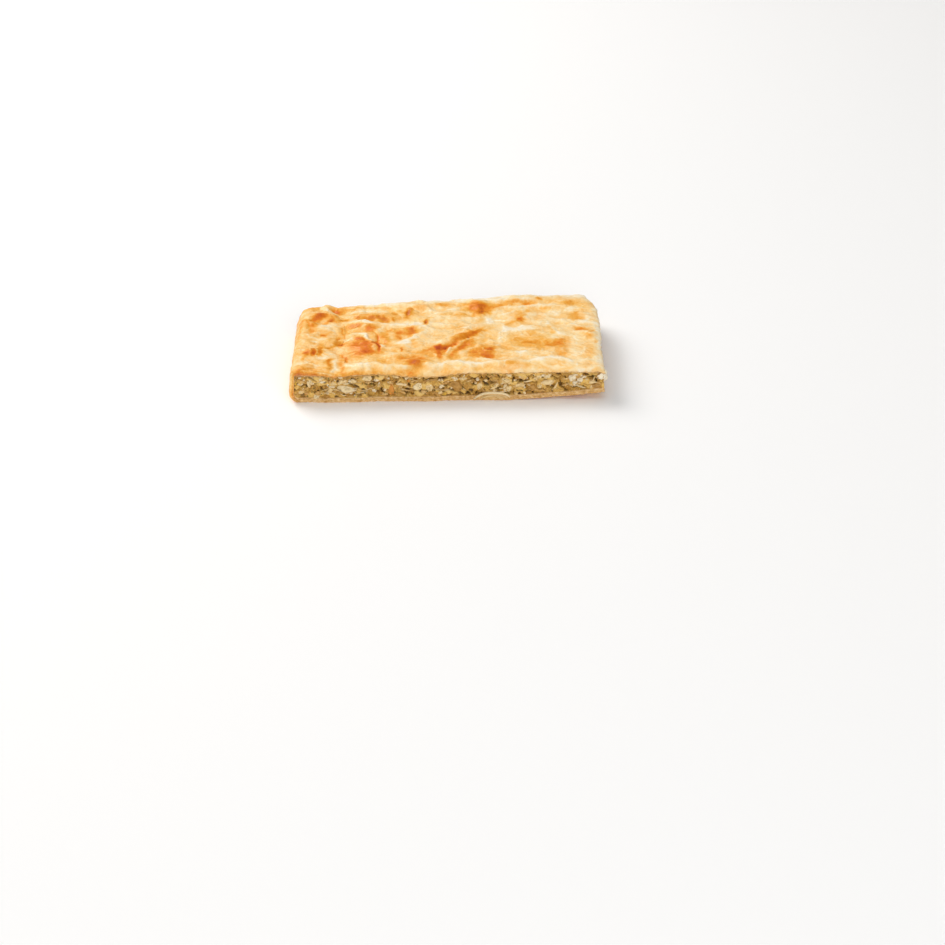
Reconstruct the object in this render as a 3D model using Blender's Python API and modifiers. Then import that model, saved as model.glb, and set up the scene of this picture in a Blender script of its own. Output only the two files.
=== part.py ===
"""Slice of a tray-baked artichoke pie: a folded pastry case, a baked lid and the filling.

Run it with: blender --background --python part.py
The slice lies along X. Its baked rim is at -X, the long knife cuts face -Y and +Y, and
the short knife cut faces +X. Sizes below are in millimetres, and MM makes them metres.
"""

import collections
import itertools
import math

import bmesh
import bpy
from mathutils import Vector, noise

MM = 0.001

# Plan of the slice
RIM_X = -92.6  # widest point of the baked rim
RIGHT_CUT_X = 88.4
FRONT_CUT_Y = -43.8
BACK_CUT_Y_AT_RIM = 32.7
BACK_CUT_Y_AT_RIGHT = 45.7
KNIFE_WAVER = 0.5  # how far the knife strayed from a straight cut
KNIFE_WAVE_LENGTH = 47.0
SECOND_WAVE_SHARE = 0.5  # a shorter waver on top of the first
SECOND_WAVE_RATIO = 2.3
FRONT_CUT_PHASE = 0.4
BACK_CUT_PHASE = 2.2
RIGHT_CUT_PHASE = 1.1
BROKEN_CORNER_START_Y = 27.5  # the back right corner has broken away from here on
BROKEN_CORNER_LOSS = 7.5
BROKEN_CORNER_CURVE = 1.15

# Underside: flat on the table, with the right-hand end slightly raised
LIFT_START_X = 20.0
LIFT = 4.6

# Baked rim
BASE_RADIUS = 6.0
RIM_DRAFT_FRONT = math.radians(5.0)
RIM_DRAFT_BACK = math.radians(17.0)  # the rim leans in more towards the back cut
SHOULDER_RADIUS_FRONT = 3.5
SHOULDER_RADIUS_BACK = 8.4

# Pastry sheets
CASE_THICKNESS = 2.7
FLAP_EDGE_THICKNESS = 1.2
LID_THICKNESS = 1.8
LID_HEIGHT = 20.4
LID_HEIGHT_UNDER_FLAP = 17.9
LID_LEFT_X = -82.6
TUCK_END_X = -67.0  # the lid rises from under the flap between these two
FREE_START_X = -51.0
BLISTERS_START_X = -48.0
FLAP_EDGE = (  # y and x along the flap's inner edge, from front to back
    (-46.0, -66.5),
    (-42.0, -65.0),
    (-38.0, -63.8),
    (-34.0, -61.5),
    (-31.0, -60.0),
    (-26.0, -61.5),
    (-21.0, -62.8),
    (-17.0, -64.2),
    (-12.0, -63.6),
    (-8.0, -62.3),
    (0.0, -61.7),
    (8.0, -62.3),
    (12.0, -62.8),
    (17.0, -62.4),
    (20.0, -60.8),
    (24.0, -64.0),
    (28.0, -66.6),
    (34.0, -68.0),
)
FLAP_THINS_FROM_X = -86.0
CUT_DROOP = 0.9  # the lid bends down where the knife pressed on it
CUT_DROOP_WIDTH = 4.5
SAG_X = -14.0  # here the lid has sunk at the front cut
SAG_LENGTH = 34.0
SAG_WIDTH = 9.0
SAG_DEPTH = 1.7
SLOPE_STEP = 0.5  # the lid's slope is measured over this distance to either side
GAP = 0.35  # between pastry and filling
FLOOR_MARGIN = 0.02  # kept besides the gap where the raised underside curves
SHOULDER_CLEARANCE = 2.4  # the filling keeps further in below the rim's rounded top
SHOULDER_CLEAR_FROM_Z = 11.0
SHOULDER_CLEAR_TO_Z = 16.5
CLEAR_REACH = 1.8  # the filling stays under the lid's lowest point within this distance

# Filling
CUT_RECESS = 0.7  # the filling stands back behind the cut pastry
LUMP_DEPTH = 1.9
LUMP_SIZE = 6.5
LUMP_SHARE = 0.7
SMALL_LUMP_SHARE = 0.5
SMALL_LUMP_RATIO = 2.1
FRONT_LUMPS = 3.0  # each cut face has lumps of its own
BACK_LUMPS = 9.0
RIGHT_LUMPS = 5.0
FACE_MARGIN = 0.01  # part of the filling's length or depth that counts as a cut face
HEART_X = 24.0  # slice of artichoke heart that bulges from the front cut
HEART_LENGTH = 21.0
HEART_HEIGHT = 5.0
HEART_BULGE = 2.2
CHUNK_Y = -38.5  # chunk that sticks out of the right-hand cut
CHUNK_Z = 13.0
CHUNK_SIZE = 8.9
CHUNK_BULGE = 4.2

# Mesh steps
FLOOR_STEPS = 16
BASE_STEPS = 4
WALL_STEPS = 3
SHOULDER_STEPS = 4
FLAP_STEPS = 10
SHOULDER_PASSES = 3
ROW_CROWDING = 0.085  # rows lie closer together beside the knife cuts
CASE_ROWS = 24
LID_COLUMNS = 50
LID_ROWS = 24
FILLING_COLUMNS = 60
FILLING_ROWS = 13
FILLING_LAYERS = 6
SCORE_DISTANCE = 1e-6
SHARP_ANGLE = math.radians(50.0)

# Blisters and folds of the baked surface: centre, size, turn in degrees, and height
Swell = collections.namedtuple("Swell", "x y length width turn height")
SWELL_STEEPNESS = 1.2

LID_SWELLS = (
    Swell(-51.0, 10.0, 24.0, 8.0, -25.0, 1.3),
    Swell(-48.0, -17.0, 22.0, 16.0, 12.0, 1.2),
    Swell(-41.5, -8.5, 13.0, 6.0, -35.0, -2.0),
    Swell(-42.0, 19.8, 24.0, 6.0, 5.0, 0.9),
    Swell(-50.0, 29.0, 34.0, 12.0, 0.0, -2.1),
    Swell(-20.0, 3.7, 28.0, 8.0, 14.0, 1.3),
    Swell(-21.0, -13.0, 22.0, 8.0, 8.0, 0.9),
    Swell(-20.0, 31.0, 30.0, 14.0, 5.0, 1.5),
    Swell(6.0, -7.0, 34.0, 6.0, 36.0, 1.7),
    Swell(17.0, 31.5, 16.0, 12.0, 10.0, 2.2),
    Swell(21.0, -24.0, 13.0, 9.0, 0.0, 1.2),
    Swell(26.0, 15.0, 24.0, 9.0, 20.0, -0.9),
    Swell(42.5, 17.0, 14.0, 9.0, 15.0, 1.2),
    Swell(52.0, -4.0, 38.0, 16.0, 0.0, 1.1),
    Swell(50.0, -22.0, 38.0, 9.0, 6.0, 0.8),
    Swell(41.0, 37.5, 38.0, 14.0, 3.0, 2.2),
    Swell(72.0, 32.0, 26.0, 16.0, 0.0, 0.8),
    Swell(82.0, -5.0, 14.0, 8.0, -45.0, 1.2),
    Swell(34.6, -35.5, 18.0, 6.0, 6.0, 0.8),
    Swell(60.0, -34.0, 22.0, 6.0, -10.0, 0.7),
    Swell(-21.0, -33.0, 18.0, 7.0, 0.0, 0.8),
)
FLAP_SWELLS = (
    Swell(-77.0, 22.0, 16.0, 8.0, 12.0, 1.3),
    Swell(-83.0, 6.0, 12.0, 9.0, 0.0, 0.6),
    Swell(-70.0, 8.0, 15.0, 9.0, 30.0, 0.9),
    Swell(-80.5, -21.0, 13.0, 7.0, 10.0, 1.2),
    Swell(-68.0, -9.0, 14.0, 8.0, -25.0, 0.8),
    Swell(-69.0, -31.0, 17.0, 11.0, 20.0, 0.9),
)

PASTRY_GOLD = (0.86, 0.56, 0.21, 1.0)
PASTRY_BROWN = (0.80, 0.46, 0.15, 1.0)
FILLING_OLIVE = (0.44, 0.36, 0.15, 1.0)


def blend(start, end, part):
    """The value that lies this part of the way from start to end."""
    return start + (end - start) * part


def ease(value, start, end):
    """0 up to start, 1 from end on, and a smooth rise between them."""
    part = min(max((value - start) / (end - start), 0.0), 1.0)
    return part * part * (3.0 - 2.0 * part)


def knife_waver(distance, phase):
    """How far the knife has strayed at this distance along a cut."""
    turn = 2.0 * math.pi * distance / KNIFE_WAVE_LENGTH + phase
    second = SECOND_WAVE_SHARE * math.sin(SECOND_WAVE_RATIO * turn + 1.0)
    return KNIFE_WAVER * (math.sin(turn) + second) / (1.0 + SECOND_WAVE_SHARE)


def front_cut(x):
    """y of the front knife cut."""
    return FRONT_CUT_Y + knife_waver(x, FRONT_CUT_PHASE)


def back_cut(x):
    """y of the back knife cut, which isn't quite parallel to the front one."""
    part = (x - RIM_X) / (RIGHT_CUT_X - RIM_X)
    return blend(BACK_CUT_Y_AT_RIM, BACK_CUT_Y_AT_RIGHT, part) + knife_waver(x, BACK_CUT_PHASE)


def right_cut(y):
    """x of the right-hand knife cut, with its broken back corner."""
    broken = max(0.0, y - BROKEN_CORNER_START_Y) / (BACK_CUT_Y_AT_RIGHT - BROKEN_CORNER_START_Y)
    loss = BROKEN_CORNER_LOSS * min(broken, 1.0) ** BROKEN_CORNER_CURVE
    return RIGHT_CUT_X + knife_waver(y, RIGHT_CUT_PHASE) - loss


def floor_height(x):
    """Height of the underside above the table."""
    return LIFT * max(0.0, (x - LIFT_START_X) / (RIGHT_CUT_X - LIFT_START_X)) ** 2


def swell_height(swells, x, y):
    """Sum of the rounded blisters at this point."""
    total = 0.0
    for swell in swells:
        turn = math.radians(swell.turn)
        along = (x - swell.x) * math.cos(turn) + (y - swell.y) * math.sin(turn)
        across = (y - swell.y) * math.cos(turn) - (x - swell.x) * math.sin(turn)
        reach = (2.0 * along / swell.length) ** 2 + (2.0 * across / swell.width) ** 2
        total += swell.height * math.exp(-SWELL_STEEPNESS * reach)
    return total


def lid_top(x, y):
    """Height of the lid's upper face."""
    height = blend(LID_HEIGHT_UNDER_FLAP, LID_HEIGHT, ease(x, TUCK_END_X, FREE_START_X))
    free = ease(x, TUCK_END_X, BLISTERS_START_X)
    height += free * swell_height(LID_SWELLS, x, y)
    from_front = y - front_cut(x)
    from_right = right_cut(y) - x
    for distance in (from_front, from_right):
        height -= free * CUT_DROOP * (1.0 - ease(distance, 0.0, CUT_DROOP_WIDTH))
    sag = math.exp(-((2.0 * (x - SAG_X) / SAG_LENGTH) ** 4))
    return height - sag * SAG_DEPTH * (1.0 - ease(from_front, 0.0, SAG_WIDTH))


def lid_stretch(x, y):
    """How much thicker a sheet is, measured straight down, where the lid slopes."""
    step = SLOPE_STEP
    rise_x = (lid_top(x + step, y) - lid_top(x - step, y)) / (2.0 * step)
    rise_y = (lid_top(x, y + step) - lid_top(x, y - step)) / (2.0 * step)
    return math.sqrt(1.0 + rise_x**2 + rise_y**2)


def lid_underside(x, y):
    """Lowest height of the lid's lower face close to this point, so that what is under it stays clear."""
    heights = []
    for step_x in (-CLEAR_REACH, 0.0, CLEAR_REACH):
        for step_y in (-CLEAR_REACH, 0.0, CLEAR_REACH):
            place = (x + step_x, y + step_y)
            heights.append(lid_top(*place) - LID_THICKNESS * lid_stretch(*place))
    return min(heights)


def flap_edge(y):
    """x of the flap's inner edge."""
    for (near_y, near_x), (far_y, far_x) in itertools.pairwise(FLAP_EDGE):
        if y < far_y:
            return blend(near_x, far_x, max((y - near_y) / (far_y - near_y), 0.0))
    return FLAP_EDGE[-1][1]


def flap_thickness(x, y):
    """Thickness of the case where it is folded over the lid."""
    return blend(CASE_THICKNESS, FLAP_EDGE_THICKNESS, ease(x, FLAP_THINS_FROM_X, flap_edge(y)))


def flap_top(x, y):
    """Height of the flap's upper face, which never sinks into the lid."""
    base = lid_top(x, y) + GAP + flap_thickness(x, y) * lid_stretch(x, y)
    return base + swell_height(FLAP_SWELLS, x, y)


def rim_shape(y):
    """Draft of the rim at this y, and the outer radius between the rim and the flap."""
    part = (y - FRONT_CUT_Y) / (BACK_CUT_Y_AT_RIM - FRONT_CUT_Y)
    draft = blend(RIM_DRAFT_FRONT, RIM_DRAFT_BACK, part)
    return draft, blend(SHOULDER_RADIUS_FRONT, SHOULDER_RADIUS_BACK, part)


def arc(centre_x, centre_z, radius, start, end, steps):
    """Points of an arc in the XZ plane, without its last one."""
    for step in range(steps):
        angle = blend(start, end, step / steps)
        yield centre_x + radius * math.cos(angle), centre_z + radius * math.sin(angle)


def case_outline(y):
    """Outer outline of the case: underside, rim and flap, as (x, z) with its thickness."""
    draft, radius = rim_shape(y)
    base_x = RIM_X + BASE_RADIUS
    wall_angle = math.pi - draft
    wall_x = base_x + BASE_RADIUS * math.cos(wall_angle)
    wall_z = BASE_RADIUS + BASE_RADIUS * math.sin(wall_angle)
    top_x = wall_x + radius
    for _ in range(SHOULDER_PASSES):  # the shoulder's place and the flap's height depend on each other
        shoulder_z = flap_top(top_x, y) - radius
        rise = shoulder_z + radius * math.sin(wall_angle) - wall_z
        top_x = wall_x + rise * math.tan(draft) - radius * math.cos(wall_angle)
    points = []
    for step in range(FLOOR_STEPS):
        x = blend(right_cut(y), base_x, step / FLOOR_STEPS)
        points.append((x, floor_height(x), CASE_THICKNESS))
    for x, z in arc(base_x, BASE_RADIUS, BASE_RADIUS, 1.5 * math.pi, wall_angle, BASE_STEPS):
        points.append((x, z, CASE_THICKNESS))
    for step in range(WALL_STEPS):
        part = step / WALL_STEPS
        points.append((wall_x + rise * part * math.tan(draft), wall_z + rise * part, CASE_THICKNESS))
    for x, z in arc(top_x, shoulder_z, radius, wall_angle, 0.5 * math.pi, SHOULDER_STEPS):
        points.append((x, z, CASE_THICKNESS))
    for step in range(FLAP_STEPS + 1):
        x = blend(top_x, flap_edge(y), step / FLAP_STEPS)
        points.append((x, flap_top(x, y), flap_thickness(x, y)))
    return points


def crowded_part(part):
    """Moves evenly spaced rows towards both knife cuts, where the shape changes most."""
    return part - ROW_CROWDING * math.sin(2.0 * math.pi * part)


def grid_sheet(columns, rows):
    """An open grid, and for each of its points the column and row that it is in."""
    sheet = bmesh.new()
    bmesh.ops.create_grid(sheet, x_segments=columns, y_segments=rows, size=0.5)
    places = {}
    for point in sheet.verts:
        column = round((point.co.x + 0.5) * columns)
        row = round((point.co.y + 0.5) * rows)
        places[point] = (column, row)
    return sheet, places


def make_object(name, shape, material, collection, parent):
    """Turns a bmesh into a smooth-shaded object with one material."""
    mesh = bpy.data.meshes.new(name)
    shape.to_mesh(mesh)
    shape.free()
    mesh.materials.append(material)
    mesh.shade_smooth()
    mesh.set_sharp_from_angle(angle=SHARP_ANGLE)
    piece = bpy.data.objects.new(name, mesh)
    piece.parent = parent
    collection.objects.link(piece)
    return piece


def thicken(piece, thickness):
    """Gives a sheet its thickness, inwards from its outer face."""
    solidify = piece.modifiers.new("pastry thickness", "SOLIDIFY")
    solidify.thickness = thickness * MM
    solidify.offset = -1.0
    solidify.use_even_offset = True
    solidify.use_rim = True
    return solidify


def pastry(name, color, roughness):
    """Baked dough: matt, with a weak sheen from its egg wash."""
    material = bpy.data.materials.new(name)
    material.use_nodes = True
    shader = material.node_tree.nodes["Principled BSDF"]
    shader.inputs["Base Color"].default_value = color
    shader.inputs["Roughness"].default_value = roughness
    shader.inputs["Metallic"].default_value = 0.0
    return material


def make_bottom_crust(collection, parent):
    """The case: underside, baked rim and the flap folded over the lid, from one sheet."""
    columns = FLOOR_STEPS + BASE_STEPS + WALL_STEPS + SHOULDER_STEPS + FLAP_STEPS
    sheet, places = grid_sheet(columns, CASE_ROWS)
    thickness_of = {}
    for point, (column, row) in places.items():
        part = crowded_part(row / CASE_ROWS)
        x, z, thickness = case_outline(blend(FRONT_CUT_Y, BACK_CUT_Y_AT_RIM, part))[column]
        y = blend(front_cut(x), back_cut(x), part)
        if column < FLOOR_STEPS:
            x = blend(right_cut(y), RIM_X + BASE_RADIUS, column / FLOOR_STEPS)
            z = floor_height(x)
        elif z > LID_HEIGHT_UNDER_FLAP and column > columns - FLAP_STEPS:
            z = flap_top(x, y)
        point.co = Vector((x, y, z)) * MM
        thickness_of[point] = thickness / CASE_THICKNESS
    sheet.verts.index_update()
    weights = {point.index: share for point, share in thickness_of.items()}
    crust = make_object("bottom_crust", sheet, pastry("baked case", PASTRY_BROWN, 0.55), collection, parent)
    group = crust.vertex_groups.new(name="thickness")
    for index, share in weights.items():
        group.add([index], share, "REPLACE")
    thicken(crust, CASE_THICKNESS).vertex_group = group.name


def make_top_crust(collection, parent):
    """The lid: a blistered sheet whose left end is tucked under the flap."""
    sheet, places = grid_sheet(LID_COLUMNS, LID_ROWS)
    for point, (column, row) in places.items():
        part = crowded_part(row / LID_ROWS)
        y = blend(FRONT_CUT_Y, BACK_CUT_Y_AT_RIGHT, part)
        x = blend(LID_LEFT_X, right_cut(y), column / LID_COLUMNS)
        y = blend(front_cut(x), back_cut(x), part)
        x = blend(LID_LEFT_X, right_cut(y), column / LID_COLUMNS)
        point.co = Vector((x, y, lid_top(x, y))) * MM
    crust = make_object("top_crust", sheet, pastry("egg-washed lid", PASTRY_GOLD, 0.42), collection, parent)
    thicken(crust, LID_THICKNESS)


def scored_block(columns, rows, layers):
    """A unit cube cut into a grid on every face, centred on the origin."""
    block = bmesh.new()
    bmesh.ops.create_cube(block, size=1.0)
    for axis, steps in enumerate((columns, rows, layers)):
        for step in range(1, steps):
            across = Vector((0.0, 0.0, 0.0))
            across[axis] = 1.0
            bmesh.ops.bisect_plane(
                block,
                geom=block.verts[:] + block.edges[:] + block.faces[:],
                plane_co=across * (step / steps - 0.5),
                plane_no=across,
                dist=SCORE_DISTANCE,
            )
    return block


def case_inside(y, z):
    """x of the inner face of the rim at this height, clear of the pastry."""
    inner_radius = BASE_RADIUS - CASE_THICKNESS - GAP
    if z < BASE_RADIUS:
        drop = min(BASE_RADIUS - z, inner_radius)
        return RIM_X + BASE_RADIUS - math.sqrt(inner_radius**2 - drop**2)
    draft, radius = rim_shape(y)
    inner_wall = RIM_X + CASE_THICKNESS / math.cos(draft) + GAP + (z - BASE_RADIUS) * math.tan(draft)
    under_shoulder = ease(z, SHOULDER_CLEAR_FROM_Z, SHOULDER_CLEAR_TO_Z) * radius / SHOULDER_RADIUS_BACK
    return inner_wall + SHOULDER_CLEARANCE * under_shoulder


def lumps(x, y, z, shift):
    """Uneven surface of the chopped filling, between -1 and 1."""
    point = Vector((x, y, z)) / LUMP_SIZE + Vector((shift, shift, shift))
    small = noise.noise(point * SMALL_LUMP_RATIO)
    return LUMP_SHARE * noise.noise(point) + SMALL_LUMP_SHARE * small


def front_bulge(x, z):
    """How far the slice of artichoke heart stands out of the front cut."""
    reach = (2.0 * (x - HEART_X) / HEART_LENGTH) ** 2 + ((z - CASE_THICKNESS) / HEART_HEIGHT) ** 2
    return HEART_BULGE * math.exp(-SWELL_STEEPNESS * reach)


def right_bulge(y, z):
    """How far the corner chunk stands out of the right-hand cut."""
    reach = ((y - CHUNK_Y) ** 2 + (z - CHUNK_Z) ** 2) * (2.0 / CHUNK_SIZE) ** 2
    return CHUNK_BULGE * math.exp(-SWELL_STEEPNESS * reach)


def make_filling(collection, parent):
    """The chopped artichoke and cheese filling, which fills the case up to the lid."""
    block = scored_block(FILLING_COLUMNS, FILLING_ROWS, FILLING_LAYERS)
    for point in block.verts:
        along, deep, up = (value + 0.5 for value in point.co)
        deep = crowded_part(deep)
        y = blend(FRONT_CUT_Y + CUT_RECESS, back_cut(0.0) - CUT_RECESS, deep)
        x = blend(RIM_X + CASE_THICKNESS, right_cut(y) - CUT_RECESS, along)
        y = blend(front_cut(x) + CUT_RECESS, back_cut(x) - CUT_RECESS, deep)
        low = floor_height(x) + CASE_THICKNESS + GAP + FLOOR_MARGIN
        high = lid_underside(x, y) - GAP
        z = blend(low, high, up)
        left = case_inside(y, z)
        x = blend(left, right_cut(y) - CUT_RECESS, along)
        inner = min(up, 1.0 - up) > FACE_MARGIN
        if inner and deep < FACE_MARGIN:
            y += LUMP_DEPTH * lumps(x, 0.0, z, FRONT_LUMPS) - front_bulge(x, z)
        elif inner and deep > 1.0 - FACE_MARGIN:
            y += LUMP_DEPTH * lumps(x, 0.0, z, BACK_LUMPS)
        if inner and along > 1.0 - FACE_MARGIN:
            x += LUMP_DEPTH * lumps(0.0, y, z, RIGHT_LUMPS) + right_bulge(y, z)
        point.co = Vector((x, y, z)) * MM
    bmesh.ops.recalc_face_normals(block, faces=block.faces[:])
    make_object("filling", block, pastry("chopped filling", FILLING_OLIVE, 0.6), collection, parent)


def clear_scene():
    """Removes every object, so that only the slice is left."""
    for thing in list(bpy.data.objects):
        bpy.data.objects.remove(thing, do_unlink=True)


def main():
    """Builds the slice from its three layers."""
    clear_scene()
    collection = bpy.data.collections.new("artichoke_pie_slice")
    bpy.context.scene.collection.children.link(collection)
    parent = bpy.data.objects.new("slice_base", None)
    collection.objects.link(parent)
    make_bottom_crust(collection, parent)
    make_filling(collection, parent)
    make_top_crust(collection, parent)


if __name__ == "__main__":
    main()
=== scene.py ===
"""Looks of a slice of artichoke pie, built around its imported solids.

The slice lies along X, with its baked rim at -X. Its long knife cuts face -Y and +Y, and its
short knife cut faces +X. Lengths in the classes below are millimetres, and MM makes them metres.
"""

import enum
import itertools
import logging
import math
from dataclasses import dataclass, field
from typing import Any, Callable, Iterator

import bmesh
import bpy
import numpy as np
from mathutils import Euler, Matrix, Vector


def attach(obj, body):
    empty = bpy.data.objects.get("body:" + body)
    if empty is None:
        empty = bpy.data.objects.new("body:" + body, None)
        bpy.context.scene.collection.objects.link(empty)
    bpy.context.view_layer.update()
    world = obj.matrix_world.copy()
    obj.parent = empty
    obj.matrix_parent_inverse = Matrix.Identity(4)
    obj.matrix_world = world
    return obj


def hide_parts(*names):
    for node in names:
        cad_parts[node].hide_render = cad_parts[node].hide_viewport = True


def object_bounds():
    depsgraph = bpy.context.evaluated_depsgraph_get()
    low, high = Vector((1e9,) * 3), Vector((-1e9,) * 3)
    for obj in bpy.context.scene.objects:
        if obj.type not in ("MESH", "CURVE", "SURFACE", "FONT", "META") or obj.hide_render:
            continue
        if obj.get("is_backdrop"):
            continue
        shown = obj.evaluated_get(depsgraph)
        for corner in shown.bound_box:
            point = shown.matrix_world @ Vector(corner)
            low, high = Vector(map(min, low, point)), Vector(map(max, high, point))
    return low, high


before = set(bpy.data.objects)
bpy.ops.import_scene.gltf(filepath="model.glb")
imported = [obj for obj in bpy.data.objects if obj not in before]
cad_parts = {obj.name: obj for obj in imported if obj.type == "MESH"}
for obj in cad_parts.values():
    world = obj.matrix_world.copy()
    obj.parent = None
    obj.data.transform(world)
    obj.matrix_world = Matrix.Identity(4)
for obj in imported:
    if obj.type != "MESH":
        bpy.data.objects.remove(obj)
CAD_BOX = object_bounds()

MM = 0.001
LOG = logging.getLogger("artichoke_pie_slice")

Array = np.ndarray
Face = list[int]


class Slot(enum.Enum):
    """Material slots of the record."""

    CASE = "baked_case"
    LID = "baked_lid"
    FILLING = "chopped_filling"


class Side(enum.Enum):
    """The three knife cuts at which the filling shows."""

    FRONT = "front"
    RIGHT = "right"
    BACK = "back"


# ---------------------------------------------------------------- small helpers


def blend(start: Any, end: Any, part: Any) -> Any:
    """The value that lies this part of the way from start to end."""
    return start + (end - start) * part


def ease(value: Any, start: Any, end: Any) -> Array:
    """0 up to start, 1 from end on, and a smooth rise between them."""
    part = np.clip((value - start) / (end - start), 0.0, 1.0)
    return part * part * (3.0 - 2.0 * part)


def linear(hex_value: str) -> tuple[float, float, float, float]:
    """Turns an sRGB colour such as "F3B05A" into linear red, green, blue and alpha.

    Args:
        hex_value: six hex digits.

    Returns:
        The linear colour, with an alpha of 1.
    """
    parts = [int(hex_value[place : place + 2], 16) / 255.0 for place in (0, 2, 4)]
    red, green, blue = (
        part / 12.92 if part <= 0.04045 else ((part + 0.055) / 1.055) ** 2.4 for part in parts
    )
    return red, green, blue, 1.0


def add_node(
    tree: bpy.types.NodeTree,
    kind: str,
    settings: dict[Any, Any] | None = None,
    links: dict[Any, bpy.types.NodeSocket] | None = None,
) -> bpy.types.Node:
    """Adds a shader node with its settings and links.

    Args:
        tree: node tree that gets the node.
        kind: type of the node, without its leading "ShaderNode".
        settings: values by the name of a property of the node, or by the name or number of an input.
        links: output sockets by the name or number of the input that each one feeds.

    Returns:
        The new node.
    """
    node = tree.nodes.new("ShaderNode" + kind)
    for key, value in (settings or {}).items():
        if isinstance(key, str) and hasattr(node, key):
            setattr(node, key, value)
        else:
            node.inputs[key].default_value = value
    for key, socket in (links or {}).items():
        tree.links.new(socket, node.inputs[key])
    return node


def set_ramp(node: bpy.types.Node, stops: tuple[tuple[float, str], ...]) -> None:
    """Gives a colour ramp its stops.

    Args:
        node: colour ramp node.
        stops: position and sRGB hex colour of each stop.
    """
    ramp = node.color_ramp
    while len(ramp.elements) < len(stops):
        ramp.elements.new(1.0)
    for element, (position, color) in zip(ramp.elements, stops):
        element.position = position
        element.color = linear(color)


NOISE_CELLS = 256  # cells before a noise repeats, a power of two
NOISE_GAIN = 1.6  # brings the noise to between about -1 and 1
OCTAVE_SHIFT = 7.3  # sets one octave apart from the next


def cell_key(order: Array, index: Array) -> Array:
    """The random number that belongs to each cell, from its column, row and level.

    Args:
        order: the numbers of the cells in random order.
        index: column, row and level of each cell.

    Returns:
        A number for each cell.
    """
    key = order[index[..., 0] & (NOISE_CELLS - 1)]
    key = order[(key + index[..., 1]) & (NOISE_CELLS - 1)]
    return order[(key + index[..., 2]) & (NOISE_CELLS - 1)]


class GradientNoise:
    """Smooth seeded noise in three dimensions, the same on every run."""

    def __init__(self, seed: int) -> None:
        """Draws the gradients.

        Args:
            seed: number that tells one noise from another.
        """
        draw = np.random.default_rng(seed)
        self._order = draw.permutation(NOISE_CELLS)
        gradients = draw.normal(size=(NOISE_CELLS, 3))
        self._gradients = gradients / np.linalg.norm(gradients, axis=1, keepdims=True)

    def __call__(self, x: Any, y: Any, z: Any = 0.0) -> Array:
        """Noise between about -1 and 1 at each point, with features one unit apart.

        Args:
            x: first coordinate of each point.
            y: second coordinate.
            z: third coordinate.

        Returns:
            A value for each point.
        """
        points = np.stack(np.broadcast_arrays(x, y, z), axis=-1).astype(float)
        cells = np.floor(points).astype(int)
        offsets = points - cells
        fade = offsets**3 * (offsets * (offsets * 6.0 - 15.0) + 10.0)
        total = np.zeros(points.shape[:-1])
        for corner in itertools.product((0, 1), repeat=3):
            key = cell_key(self._order, cells + corner)
            slope = ((offsets - corner) * self._gradients[key]).sum(axis=-1)
            weight = np.prod(np.where(corner, fade, 1.0 - fade), axis=-1)
            total += weight * slope
        return NOISE_GAIN * total

    def layered(self, x: Any, y: Any, z: Any, octaves: int) -> Array:
        """Sum of octaves, each half as large and half as strong as the one before.

        Args:
            x: first coordinate of each point.
            y: second coordinate.
            z: third coordinate.
            octaves: how many octaves there are.

        Returns:
            The sum at each point.
        """
        total = 0.0
        for octave in range(octaves):
            scale = 2.0**octave
            shift = OCTAVE_SHIFT * octave
            total = total + self(x * scale, y * scale, z * scale + shift) / scale
        return total


class ChoppedCells:
    """Irregular cells that fill space, as chopped pieces do."""

    def __init__(self, seed: int, size: tuple[float, float, float]) -> None:
        """Draws the cells.

        Args:
            seed: number that tells one chopping from another.
            size: mean length, depth and height of a cell.
        """
        draw = np.random.default_rng(seed)
        self._size = np.array(size)
        self._order = draw.permutation(NOISE_CELLS)
        self._centres = draw.uniform(0.08, 0.92, size=(NOISE_CELLS, 3))
        self._numbers = draw.uniform(size=NOISE_CELLS)

    def __call__(self, points: Array) -> tuple[Array, Array, Array]:
        """Finds each point's cell.

        Args:
            points: places, one in each row.

        Returns:
            The distance to the nearest cell's centre, how much further the next centre is,
            both in cell sizes, and the nearest cell's own number between 0 and 1.
        """
        places = points / self._size
        cells = np.floor(places).astype(int)
        nearest = np.full(len(points), math.inf)
        second = np.full(len(points), math.inf)
        number = np.zeros(len(points))
        for step in itertools.product((-1, 0, 1), repeat=3):
            index = cells + step
            key = cell_key(self._order, index)
            distance = np.linalg.norm(index + self._centres[key] - places, axis=1)
            closer = distance < nearest
            second = np.where(closer, nearest, np.minimum(second, distance))
            number = np.where(closer, self._numbers[key], number)
            nearest = np.minimum(nearest, distance)
        return nearest, second - nearest, number


# ---------------------------------------------------------------- plan of the slice


FADE = 1.2  # how fast a blister or patch fades away from its middle


@dataclass(frozen=True)
class Oval:
    """An oval spot with its middle, its size and its turn in degrees."""

    x: float
    y: float
    length: float
    width: float
    turn: float

    def reach(self, x: Array, y: Array) -> Array:
        """Squared distance from its middle, 1 at its rim.

        Args:
            x: x of each point.
            y: y of each point.

        Returns:
            A squared distance for each point.
        """
        turn = math.radians(self.turn)
        along = (x - self.x) * math.cos(turn) + (y - self.y) * math.sin(turn)
        across = (y - self.y) * math.cos(turn) - (x - self.x) * math.sin(turn)
        return (2.0 * along / self.length) ** 2 + (2.0 * across / self.width) ** 2


@dataclass(frozen=True)
class Swell(Oval):
    """A rounded blister or hollow of the baked surface."""

    height: float

    def rise(self, x: Array, y: Array) -> Array:
        """Height that it adds at each point."""
        return self.height * np.exp(-FADE * self.reach(x, y))


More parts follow.
